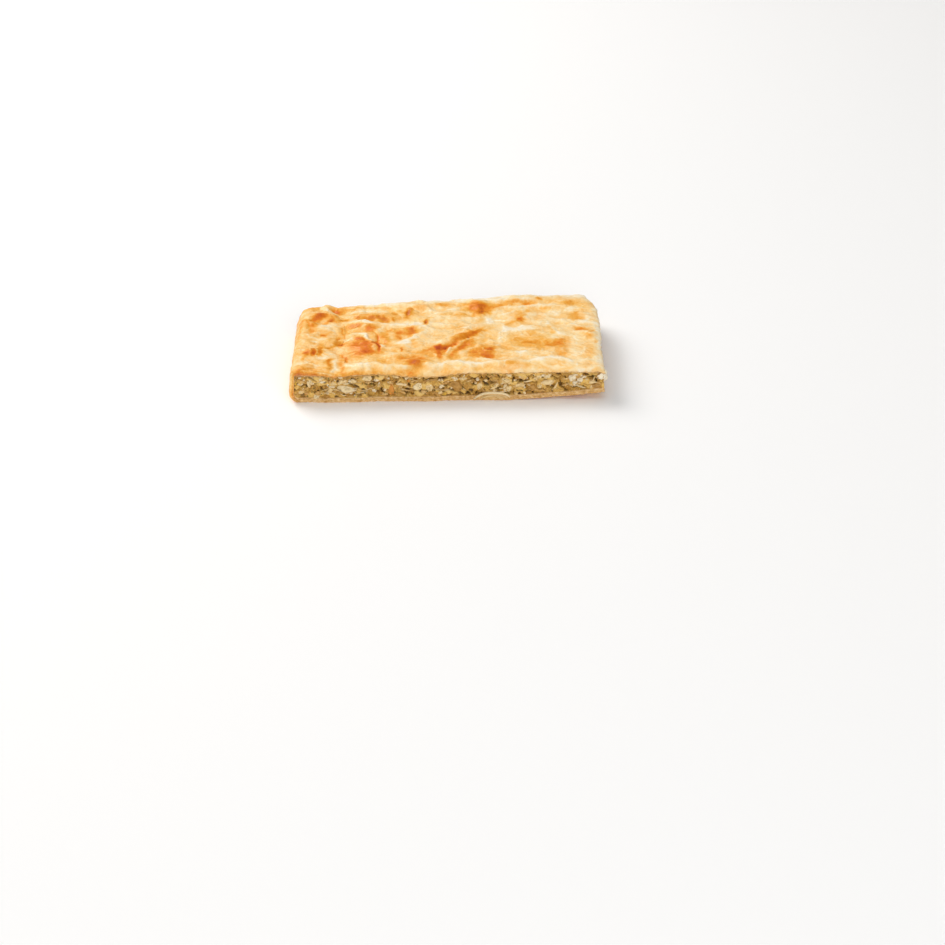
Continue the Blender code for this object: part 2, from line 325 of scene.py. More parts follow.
@dataclass(frozen=True)
class SlicePlan:
    """Plan, heights and pastry thickness of the slice.

    They are those of its solids, but for the sunken rear corner and the flap baked on to the lid.
    """

    rim_x: float = -92.6
    right_cut_x: float = 88.4
    front_cut_y: float = -43.8
    back_cut_y_at_rim: float = 32.7
    back_cut_y_at_right: float = 45.7
    knife_waver: float = 0.5
    knife_wave_length: float = 47.0
    second_waver: float = 0.5  # a quicker waver on top, as a share of the first
    second_rate: float = 2.3
    front_waver_start: float = 0.4
    back_waver_start: float = 2.2
    right_waver_start: float = 1.1
    broken_corner_start_y: float = 27.5
    broken_corner_loss: float = 7.5
    broken_corner_curve: float = 1.15
    lift_start_x: float = 20.0
    lift: float = 4.6
    base_radius: float = 6.0
    draft_front: float = math.radians(5.0)
    draft_back: float = math.radians(17.0)
    shoulder_radius_front: float = 3.5
    shoulder_radius_back: float = 8.4
    case_thickness: float = 2.7
    flap_edge_thickness: float = 0.8
    flap_thinning_start_x: float = -86.0
    lid_thickness: float = 1.8
    lid_thickness_under_flap: float = 0.5
    pressed_thin_to_x: float = -72.0
    full_thickness_from_x: float = -60.0
    lid_height: float = 20.4
    lid_height_under_flap: float = 17.9
    tuck_end_x: float = -67.0
    free_start_x: float = -51.0
    blisters_start_x: float = -48.0
    flap_edge_y: tuple[float, ...] = (
        -46, -42, -38, -34, -31, -26, -21, -17, -12, -8, 0, 8, 12, 17, 20, 24, 28, 34,
    )
    flap_edge_x: tuple[float, ...] = (
        -66.5, -65, -63.8, -61.5, -60, -61.5, -62.8, -64.2, -63.6, -62.3, -61.7, -62.3, -62.8,
        -62.4, -60.8, -64, -66.6, -68,
    )
    flap_edge_opening: tuple[float, ...] = (
        0, 0, 0, 0.1, 0.3, 0.3, 0.2, 0, 0, 0.15, 0.3, 0.3, 0.25, 0.2, 0.2, 0, 0, 0,
    )
    flap_edge_smoothing: float = 1.5
    flap_sinking: float = 1.45  # how deep the flap's edge is baked into the lid
    flap_sinking_width: float = 7.0
    cut_droop: float = 0.9
    cut_droop_width: float = 4.5
    sag_x: float = -14.0
    sag_length: float = 34.0
    sag_width: float = 9.0
    sag_depth: float = 1.7
    gap: float = 0.35
    bulge: float = 2.4  # how far the rim's inner face leans in below the back shoulder
    bulge_low: float = 11.0
    bulge_high: float = 16.5
    # Each row of swells: x, y, length, width, turn and height.
    lid_swells: tuple[Swell, ...] = tuple(
        Swell(*row)
        for row in (
            (-51, 10, 24, 8, -25, 1.3), (-48, -17, 22, 16, 12, 1.2), (-41.5, -8.5, 13, 6, -35, -2),
            (-42, 19.8, 24, 6, 5, 0.9), (-50, 29, 34, 12, 0, -2.1), (-20, 3.7, 28, 8, 14, 1.3),
            (-21, -13, 22, 8, 8, 0.9), (-20, 31, 30, 14, 5, 1.5), (6, -7, 34, 6, 36, 1.7),
            (17, 31.5, 16, 12, 10, 2.2), (21, -24, 13, 9, 0, 1.2), (26, 15, 24, 9, 20, -0.9),
            (42.5, 17, 14, 9, 15, 1.2), (52, -4, 38, 16, 0, 1.1), (50, -22, 38, 9, 6, 0.8),
            (41, 37.5, 38, 14, 3, 2.2), (72, 32, 26, 16, 0, 0.8), (82, -5, 14, 8, -45, 1.2),
            (34.6, -35.5, 18, 6, 6, 0.8), (60, -34, 22, 6, -10, 0.7), (-21, -33, 18, 7, 0, 0.8),
        )
    )
    # The sunken rear corner is here only: in the solids it stays whole.
    rear_corner: Swell = Swell(-84.0, 34.0, 24.0, 18.0, 0.0, -1.8)
    flap_swells: tuple[Swell, ...] = tuple(
        Swell(*row)
        for row in (
            (-77, 22, 16, 8, 12, 1.3), (-83, 6, 12, 9, 0, 0.6), (-70, 8, 15, 9, 30, 0.9),
            (-80.5, -21, 13, 7, 10, 1.2), (-68, -9, 14, 8, -25, 0.8), (-69, -31, 17, 11, 20, 0.9),
        )
    )

    def waver(self, distance: Array, phase: float) -> Array:
        """How far the knife has strayed at this distance along a cut.

        Args:
            distance: distance of each point along the cut.
            phase: angle in radians at which the wave starts.

        Returns:
            The shift of each point.
        """
        turn = 2.0 * math.pi * distance / self.knife_wave_length + phase
        second = self.second_waver * np.sin(self.second_rate * turn + 1.0)
        return self.knife_waver * (np.sin(turn) + second) / (1.0 + self.second_waver)

    def front_cut(self, x: Array) -> Array:
        """y of the front knife cut."""
        return self.front_cut_y + self.waver(x, self.front_waver_start)

    def back_cut(self, x: Array) -> Array:
        """y of the back knife cut, which isn't quite parallel to the front one.

        Args:
            x: x of each point.

        Returns:
            y of the cut at each x.
        """
        part = (x - self.rim_x) / (self.right_cut_x - self.rim_x)
        straight = blend(self.back_cut_y_at_rim, self.back_cut_y_at_right, part)
        return straight + self.waver(x, self.back_waver_start)

    def right_cut(self, y: Array) -> Array:
        """x of the right-hand knife cut, with its broken back corner.

        Args:
            y: y of each point.

        Returns:
            x of the cut at each y.
        """
        span = self.back_cut_y_at_right - self.broken_corner_start_y
        broken = np.clip((y - self.broken_corner_start_y) / span, 0.0, 1.0)
        lost = self.broken_corner_loss * broken**self.broken_corner_curve
        return self.right_cut_x + self.waver(y, self.right_waver_start) - lost

    def floor_height(self, x: Array) -> Array:
        """Height of the underside above the table."""
        span = self.right_cut_x - self.lift_start_x
        return self.lift * np.maximum(0.0, (x - self.lift_start_x) / span) ** 2

    def lid_top(self, x: Array, y: Array) -> Array:
        """Height of the lid's upper face.

        Args:
            x: x of each point.
            y: y of each point.

        Returns:
            The height at each point.
        """
        risen = ease(x, self.tuck_end_x, self.free_start_x)
        free = ease(x, self.tuck_end_x, self.blisters_start_x)
        height = blend(self.lid_height_under_flap, self.lid_height, risen)
        height = height + free * sum(swell.rise(x, y) for swell in self.lid_swells)
        height = height + self.rear_corner.rise(x, y)
        from_front = y - self.front_cut(x)
        for distance in (from_front, self.right_cut(y) - x):
            height = height - free * self.cut_droop * (1.0 - ease(distance, 0.0, self.cut_droop_width))
        sag = np.exp(-((2.0 * (x - self.sag_x) / self.sag_length) ** 4))
        return height - sag * self.sag_depth * (1.0 - ease(from_front, 0.0, self.sag_width))

    def stretch(self, x: Array, y: Array) -> Array:
        """How much thicker the lid is, measured straight down, where it slopes.

        Args:
            x: x of each point.
            y: y of each point.

        Returns:
            A factor of 1 or more for each point.
        """
        step = 0.5
        rise_x = (self.lid_top(x + step, y) - self.lid_top(x - step, y)) / (2.0 * step)
        rise_y = (self.lid_top(x, y + step) - self.lid_top(x, y - step)) / (2.0 * step)
        return np.sqrt(1.0 + rise_x**2 + rise_y**2)

    def lid_underside(self, x: Array, y: Array) -> Array:
        """Height of the lid's lower face, where the lid is pressed thin under the flap.

        Args:
            x: x of each point.
            y: y of each point.

        Returns:
            The height at each point.
        """
        pressed = ease(x, self.pressed_thin_to_x, self.full_thickness_from_x)
        thickness = blend(self.lid_thickness_under_flap, self.lid_thickness, pressed)
        return self.lid_top(x, y) - thickness * self.stretch(x, y)

    def flap_edge(self, y: Array) -> Array:
        """x of the flap's torn inner edge.

        Args:
            y: y of each point.

        Returns:
            x of the edge at each y.
        """
        spread = np.linspace(-self.flap_edge_smoothing, self.flap_edge_smoothing, 5)
        smooth = sum(np.interp(y + step, self.flap_edge_y, self.flap_edge_x) for step in spread)
        return smooth / len(spread)

    def flap_opening(self, y: Array) -> Array:
        """How far the flap's edge gapes: 0 where it is baked on to the lid, 1 where it is open."""
        return np.interp(y, self.flap_edge_y, self.flap_edge_opening)

    def flap_thickness(self, x: Array, y: Array) -> Array:
        """Thickness of the case where it is folded over the lid."""
        thinned = ease(x, self.flap_thinning_start_x, self.flap_edge(y))
        return blend(self.case_thickness, self.flap_edge_thickness, thinned)

    def flap_top(self, x: Array, y: Array) -> Array:
        """Height of the flap's upper face.

        Args:
            x: x of each point.
            y: y of each point.

        Returns:
            The height at each point.
        """
        sunk = blend(self.flap_sinking, 0.0, self.flap_opening(y))
        edge = self.flap_edge(y)
        sunk = sunk * ease(x, edge - self.flap_sinking_width, edge)
        base = self.lid_top(x, y) + self.gap + self.flap_thickness(x, y) * self.stretch(x, y)
        return base - sunk + sum(swell.rise(x, y) for swell in self.flap_swells)

    def rim_shape(self, y: Array) -> tuple[Array, Array]:
        """Draft of the rim at this y, and the outer radius between the rim and the flap.

        Args:
            y: y of each point.

        Returns:
            The draft in radians and the radius in millimetres.
        """
        part = (y - self.front_cut_y) / (self.back_cut_y_at_rim - self.front_cut_y)
        radius = blend(self.shoulder_radius_front, self.shoulder_radius_back, part)
        return blend(self.draft_front, self.draft_back, part), radius

    def case_inside(self, y: Array, z: Array) -> Array:
        """x of the inner face of the rim at this height.

        Args:
            y: y of each point.
            z: height of each point.

        Returns:
            x of the inner face at each point.
        """
        inner_radius = self.base_radius - self.case_thickness
        drop = np.clip(self.base_radius - z, 0.0, inner_radius)
        corner = self.rim_x + self.base_radius - np.sqrt(inner_radius**2 - drop**2)
        draft, radius = self.rim_shape(y)
        wall = self.rim_x + self.case_thickness / np.cos(draft)
        wall = wall + (z - self.base_radius) * np.tan(draft)
        raised = ease(z, self.bulge_low, self.bulge_high)
        shoulder = self.bulge * raised * radius / self.shoulder_radius_back
        return np.where(z < self.base_radius, corner, wall + shoulder)


# ---------------------------------------------------------------- baked surface


@dataclass(frozen=True)
class Patch(Swell):
    """A browned or pale patch, whose height is a share of browning and not millimetres.

    Its tone goes from -1, golden with a little olive, to 1, orange with a little red.
    """

    tone: float = 0.0

    def share(self, x: Array, y: Array) -> Array:
        """1 in its middle and 0 well outside, with a flatter middle than a blister's."""
        return np.exp(-FADE * self.reach(x, y) ** 1.5)


def smooth_line(points: tuple[tuple[float, float], ...], steps: int = 6) -> Array:
    """Draws a smooth line through given points.

    Args:
        points: points that the line goes through.
        steps: how many straight pieces each stretch between two of them gets.

    Returns:
        Points along the line.
    """
    ends = np.array([points[0], *points, points[-1]], float)
    spans = []
    for before, start, end, after in zip(ends, ends[1:], ends[2:], ends[3:]):
        part = np.arange(steps)[:, None] / steps
        bend = 2.0 * before - 5.0 * start + 4.0 * end - after
        twist = 3.0 * start - before - 3.0 * end + after
        spans.append(start + 0.5 * part * (end - before + part * (bend + part * twist)))
    return np.concatenate([*spans, ends[-1:]])


@dataclass(frozen=True)
class Fold:
    """A crease, pleat or streak of the dough that follows a smooth line."""

    points: tuple[tuple[float, float], ...]
    width: float
    height: float
    browning: float
    tone: float = 0.0

    def share(self, x: Array, y: Array) -> Array:
        """1 along its line, fading to 0 at its sides and ends.

        Args:
            x: x of each point.
            y: y of each point.

        Returns:
            A share for each point.
        """
        line = smooth_line(self.points)
        reach = 3.0 * self.width
        low, high = line.min(axis=0) - reach, line.max(axis=0) + reach
        near = (x > low[0]) & (x < high[0]) & (y > low[1]) & (y < high[1])
        places = np.stack([x[near], y[near]], axis=-1)
        distance = np.full(len(places), math.inf)
        taper = np.zeros(len(places))
        for number, (start, end) in enumerate(zip(line, line[1:])):
            way = end - start
            part = np.clip(((places - start) @ way) / (way @ way), 0.0, 1.0)
            gap = np.linalg.norm(places - start - part[:, None] * way, axis=1)
            along = (number + part) / (len(line) - 1)
            taper = np.where(gap < distance, np.sin(math.pi * (0.06 + 0.88 * along)), taper)
            distance = np.minimum(distance, gap)
        result = np.zeros(x.shape)
        result[near] = np.exp(-((distance / self.width) ** 2)) * np.sqrt(taper)
        return result


# Each row: x, y, length, width, turn, browning and tone, which is 0 where it is left out.
PATCHES = tuple(
    Patch(*row)
    for row in (
        # on the lid
        (-56.5, 9, 11, 7, -35, 0.32, -0.8), (-46.5, 4.5, 8, 8, 60, 0.4, 0.5),
        (-55, 18, 4, 7, 0, 0.3, -0.3), (-52, 16.5, 5, 6, 0, 0.18, -0.6),
        (-44.5, 17.3, 12, 5.5, 0, 0.34, -0.9), (-39, 15.5, 8, 5, -20, 0.32, -1),
        (-53, -6, 10, 4, -27, 0.34, 0.5), (-50, -17.5, 24, 22, 0, 0.29, 0.6),
        (-47, -23, 8, 7, 0, 0.16, 0.5), (-42.5, -14, 6, 8, 70, 0.26, 0.9),
        (-41.5, -18.5, 3, 7, 10, 0.26, 0.9), (-39, -3, 7, 10, 0, 0.2, -0.3),
        # (-39.6, -15.2) is a painted highlight on the glaze.
        (-37.5, -8, 6, 8, 0, 0.18, -0.5), (-39.6, -15.2, 3, 6.5, 0, -0.46, 0.8),
        (-29.8, -4, 6, 10, 0, 0.32, 0.4), (-20.3, 0.4, 8.5, 9.5, -20, 0.32, -0.6),
        (-24.5, 4, 10, 6, 0, 0.18), (-27.5, -20.5, 2.6, 5, 0, 0.35, 0.8), (-22, -10, 6, 5, 0, 0.18),
        (-20.5, -35.8, 12, 5.4, 0, 0.38, -1), (-21, -29, 21, 17, 0, 0.2, 0.2),
        (-12, -23.5, 10, 9, 0, 0.2, 0.2), (-25, -42.5, 13, 5, 0, 0.2, 0.3),
        (-6.6, -18.2, 4.6, 6, 0, 0.54, 0.9), (-6, -25, 3.6, 15, 4, 0.34, 0.4),
        (-3.4, -20.5, 3.2, 8, 0, 0.34, 0.2), (22.5, -22.8, 5.5, 6.5, -30, 0.21, 0.4),
        (20.5, -28.6, 10, 5, 0, 0.17, 0.3), (20.5, -25, 19, 19, 0, 0.2, 0.2),
        (15.5, 28.5, 11, 15, 12, 0.44, 0.1), (19.3, 26.5, 6, 11, 0, 0.24, -0.4),
        # (17.5, 21.5) and (23, 22.5) paint shade on the knob's lower side.
        (17.5, 21.5, 6, 6, 0, 0.36, -0.9), (23, 22.5, 5, 5, 0, 0.28, -1), (-4, 32, 10, 6, -20, 0.24, 0.1),
        (8, 11.5, 5, 4, 0, 0.16, -0.5), (8.5, 20, 5, 4, 0, 0.16, -0.4),
        # (-24, 22.8) and (-13.6, 11.6) are painted shade in two dimples.
        (-24, 22.8, 4.4, 10, -14, 0.38, -1), (-13.6, 11.6, 4.2, 6.4, -10, 0.52, -1),
        (-33, 22, 5, 4, 0, 0.18, -0.4), (-33.3, 15.5, 1.6, 6, 0, 0.25, -0.6),
        (54, 37, 4, 5, 0, 0.3, -0.2), (42, 18, 7, 11, 0, 0.24, 0.1), (41.5, 13, 5, 5.5, 0, 0.28, 0.1),
        (46.5, 23.5, 3.5, 5, 0, 0.2), (72, 32.5, 12, 9, 25, 0.16, -0.2), (62, 34, 8, 5, 0, 0.14),
        (57, 27, 8, 4, 0, 0.1), (74, 17, 12, 10, 0, 0.16, -0.2), (74.5, 21.5, 3, 3, 0, 0.14),
        (52, 16.5, 6, 6, 0, 0.1), (48, -13.5, 34, 18, 0, 0.2, -0.4), (58, -17.3, 8, 5, 0, 0.14, -0.2),
        (66.5, -14, 10, 14, 0, 0.18, 0.5), (38, -10, 8, 6, 0, 0.12), (65, -23, 9, 9, 0, 0.16, 0.5),
        (57.5, -7, 5, 3, 0, 0.14, -1), (59, 1, 4, 12, 12, 0.18, -0.6), (76.5, 1.4, 10, 8.5, 0, 0.3, 0.3),
        (82.3, -8, 6.5, 6, 0, 0.24, 0.1), (85, -12.5, 2.5, 5, 0, 0.25), (35, -37, 10, 5.5, 0, 0.18, -0.2),
        (60, -37, 12, 4.5, 0, 0.18), (65, -39.5, 4, 4, 0, 0.14), (28, -32.5, 5, 4, 0, 0.18),
        # (23, 12.5) is a pale crack that also carries a painted highlight.
        (42, 3, 22, 7, 0, -0.26), (63, 22, 8, 8, 0, -0.15), (23, 12.5, 7, 10, 10, -0.2),
        # (33, 2), (-20, 9.5) and (-26.5, -12.5) are painted highlights on ridges.
        (33, 2, 4, 6, 0, -0.2), (-20, 9.5, 7, 4, 0, -0.35), (-26.5, -12.5, 9, 4, 0, -0.3),
        (-62, -43.6, 58, 3.6, 0, 0.18, -0.2), (15, -15, 26, 28, 0, 0.15, -0.2),
        (-6, 5, 20, 16, 10, -0.14), (75, -33, 16, 12, 0, -0.12), (-30, 28, 10, 8, 0, -0.12),
        (-11, 28, 12, 12, 0, -0.12),
        # on the flap
        (-78, 18.8, 12.5, 6.5, 52, 0.47, 0.1), (-71, 16.5, 3.5, 4, 0, 0.22, -0.8),
        (-62.5, 18.3, 7, 3, 10, 0.3, -0.9), (-67.8, 22, 2.4, 2.4, 0, 0.14, -1),
        (-68.2, 28.6, 8.5, 3.4, -42, 0.26, 0.1), (-80, 9, 5.5, 5, 0, 0.26, -0.1),
        (-81.5, 4, 3, 7, 0, 0.15), (-72, 9, 14, 8, 20, -0.22), (-74.3, -1.6, 3.6, 4, 0, 0.36),
        (-71, 1.5, 5, 4, 0, 0.15), (-66, -5, 2.4, 6, 0, 0.24), (-63.5, -9.8, 4, 5, 0, 0.24, -0.2),
        (-82.6, -23.6, 4.8, 8.5, 0, 0.34, -0.1), (-79, -22.8, 3.4, 8.5, 0, 0.44, 0.3),
        # (-75.4, -19) ends the painted shadow of the fold below the flap.
        (-75.4, -19, 3.6, 13, 0, 0.42, -1), (-78.5, -8.5, 6, 5, 0, -0.25), (-70, -21, 6, 4, 0, -0.2),
        (-73, -28, 8, 4, 0, -0.18), (-84.5, -30, 3.5, 6, 0, 0.18), (-86.5, -45, 5, 3, 0, 0.3, -0.3),
        (-88.5, 5, 3, 26, 0, 0.14), (-76, -5, 34, 84, 0, 0.05, 0.3),
    )
)
# Each row: points of the line, width, height, browning and tone, which is 0 where it is left out.
FOLDS = tuple(
    Fold(*row)
    for row in (
        # on the lid
        (((-4, -21.5), (-1.4, -18.6), (1.4, -15.6), (3.4, -13.4)), 1.8, -0.4, 0.46, 0.2),
        (((3.5, -13), (7.5, -9.5), (11, -6)), 1.5, -0.1, 0.1, -0.4),
        (((11, -6.5), (14.5, -3.5), (18, -0.3), (20.5, 2.4)), 2, -0.3, 0.32, -0.1),
        (((2, -13.5), (7, -8.5), (12, -3.5), (17, 1)), 3.4, 0.3, 0.08, 0),
        (((-6, -13), (0, -7.5), (5, -2.5), (12, 4.5), (17, 8.5)), 2, 0.7, -0.1),
        (((-0.5, -29.5), (2.8, -23), (8, -16.8), (13, -10.5)), 1.9, -0.3, 0.36, -0.1),
        (((-2.3, -24.5), (-1.4, -21.5), (1, -18.8)), 0.8, 0.4, -0.38),
        (((4, -17.5), (8, -12), (12, -8.5), (20, -1.5)), 1.4, 0.4, -0.16),
        (((18.8, -20), (20.3, -23.5), (22, -25)), 0.6, 0.3, -0.3),
        (((24.5, -24), (21, -24.6)), 0.6, 0.2, -0.2), (((32, 7), (37, 10.5), (42, 13)), 1.5, 0.3, 0.2),
        (((84.5, -0.5), (82, -2.6), (80, -4.8)), 1, -0.3, 0.26, 0.2),
        (((-40, 9), (-32, 10), (-25, 10), (-18, 9.5)), 2, 0.3, -0.2),
        (((-16, -0.5), (-20, -4.5), (-27, -12), (-30, -12.8)), 2, 0.6, -0.28),
        # A ridge whose pale crest is a painted highlight.
        (((-57, 1.8), (-52, 0), (-48.2, -5), (-45.6, -10.5), (-43.8, -20)), 1.3, 0.8, -0.32, 0.8),
        (((-53, 12.5), (-49, 11), (-44, 9)), 1.2, 0.4, -0.25),
        (((-58, -34), (-50, -36.5), (-42, -37), (-34, -40)), 2.4, 0.4, -0.2),
        (((-8, -38.5), (0, -34.5), (8, -35.5), (17, -37.5), (28, -35.5), (36, -33.5)), 1.8, 0.5, -0.22),
        (((43, -35.5), (50, -33), (58, -31.3), (65, -32.5), (70, -37)), 1.7, 0.5, -0.22),
        (((35, -26), (43, -28), (52, -29.5)), 2.6, 0.2, -0.12),
        (((34, 3.5), (31, -2), (28.8, -9), (28.2, -16), (29.2, -23)), 1.5, 0.3, -0.18),
        (((33.2, 3), (31, -2.5), (29.8, -7)), 0.5, -0.4, 0.12),
        (((58, 9), (60.5, 3), (62.5, -3), (67, -6.5)), 1.6, 0.3, -0.2),
        # Two dimples, darkened with painted shade.
        (((-24.7, 25), (-24.9, 22), (-25, 20)), 0.9, -0.8, 0.14, -1),
        (((-13.6, 14), (-14, 11.8), (-14.4, 10)), 0.9, -0.7, 0.14, -1),
        (((-44, 0.5), (-42.6, -6), (-42, -13), (-41.2, -20.5)), 1, -0.6, 0.3, 0.8),
        (((-60, 31), (-53, 32.5), (-44, 32), (-36, 30)), 1.2, 0.3, 0.26, 0.1),
        (((-58, 27.5), (-50, 28.5), (-40, 27)), 1.1, 0.5, -0.18),
        (((-62, 24.5), (-56, 24), (-50, 22), (-42, 22.5)), 1.2, 0.4, 0.16, -0.3),
        (((-58, 14), (-52, 13.8), (-46, 12), (-41, 12.5)), 1.3, 0.6, -0.24),
        (((-60, 6.5), (-54, 5.6), (-48, 6.8)), 1.1, 0.5, -0.16),
        (((-36, 3), (-31, 0.5), (-26, -1), (-20, -1.5)), 1.6, -0.4, 0.2, 0.4),
        (((-34, 7), (-27, 6.4), (-20, 5), (-13, 5.6)), 1.3, 0.6, -0.2),
        (((-36, -27), (-29, -24.5), (-22, -24.5), (-15, -27.5)), 1.8, 0.5, -0.14),
        (((-30, -31), (-24, -29.5), (-17, -30), (-11, -32.5)), 1.4, -0.3, 0.16, 0.2),
        (((-33, -37.5), (-25, -38), (-16, -36.5), (-9, -38)), 1.3, 0.5, -0.18),
        (((12, 36.5), (20, 38), (27, 35), (38, 35.5), (52, 36)), 1.3, 0.5, -0.2),
        (((26, 27), (36, 27.5), (47, 29), (58, 29.5), (68, 28.5)), 1.5, 0.7, -0.22),
        (((30, 20), (36, 22), (41, 25.5)), 1.2, 0.5, -0.14),
        (((26, 16), (32, 14), (38, 12)), 1.2, 0.4, -0.14),
        (((60, 14), (67, 12), (74, 12), (82, 9)), 1.8, 0.4, -0.12),
        (((70, 8), (76, 5.5), (83, 3.5)), 1, 0.4, -0.2),
        (((72, -2), (78, -2), (84.5, -6.5)), 0.9, 0.4, -0.16),
        (((31, -27), (40, -25), (54, -26)), 1.3, 0.35, -0.08),
        (((24, 26.5), (31, 30.5), (38, 33.5), (44, 33), (51, 31.5)), 2.4, 0.1, 0.26, 0.1),
        (((-62.5, -22), (-60.5, -27), (-59, -32)), 1, -0.3, 0.28, 0.5),
        (((-62.6, -29), (-62, -35), (-62.2, -41)), 1.5, 0.1, 0.22, 0.5),
        # Painted shade along the flap's edge, where it meets the lid.
        (((-63, 13), (-62.6, 4), (-62.3, -5)), 0.8, -0.1, 0.14, 0.3),
        (((8, -29.5), (16, -32), (25, -32.5), (33, -29.5)), 1.2, 0.5, -0.22),
        (((6, -26), (12, -20), (18, -14), (26, -11)), 1.2, 0.5, -0.18),
        (((-1, 17), (6, 15.5), (14, 16.5), (20, 20.5)), 1.4, 0.5, -0.14),
        (((-14, 20), (-7, 22), (0, 24.5), (6, 24)), 1.4, 0.5, -0.14),
        # on the flap
        (((-76, 33.6), (-70, 34), (-62.5, 34.7)), 3.6, 1.8, 0.06, 0.1),
        (((-76, 12), (-73, 13.5), (-70.5, 16.5)), 1.2, 0.3, 0.25),
        (((-77, 32), (-73, 29.2), (-68.6, 26)), 1.7, 0.5, -0.24),
        # A groove below a fold of the flap, darkened with painted shadow.
        (((-63, -9), (-67, -12), (-70.5, -15), (-75.4, -16.5)), 1.2, -0.5, 0.26, -0.7),
        (((-69, -29), (-69.3, -35), (-69.5, -41)), 1.6, 0.2, 0.26),
        (((-86, 17), (-84, 12), (-83, 8)), 0.8, -0.3, 0.2),
        (((-86, 0), (-80, -4.5), (-75, -5.5), (-70, -3)), 0.8, 0.3, -0.2),
        (((-66.3, -30), (-66, -36), (-67, -43)), 1.2, 0.2, -0.25),
        (((-84, -12), (-79, -14), (-76, -10)), 0.7, 0.3, -0.15),
        (((-85, 25), (-80, 27.5), (-74, 26)), 0.9, 0.4, 0.1),
        (((-80.8, -18.5), (-80.7, -26.5)), 0.6, 0.3, -0.12),
        (((-77.3, -17.5), (-77.2, -26)), 0.6, 0.3, -0.12),
        (((-86, -36), (-80, -35), (-74, -37)), 0.8, 0.3, -0.14),
        (((-82, -39.5), (-76, -40.5), (-70, -39)), 0.7, 0.3, 0.12, -0.2),
        (((-74, -24), (-70, -26), (-66, -25)), 0.7, 0.3, -0.12),
        (((-86, -6), (-82, -7.5), (-77, -6)), 0.7, -0.2, 0.12, -0.2),
        (((-78, 3), (-73, 4.5), (-67, 3)), 0.8, 0.4, -0.12),
        (((-71.5, 22), (-69, 19), (-68, 14)), 0.7, -0.2, 0.12),
    )
)


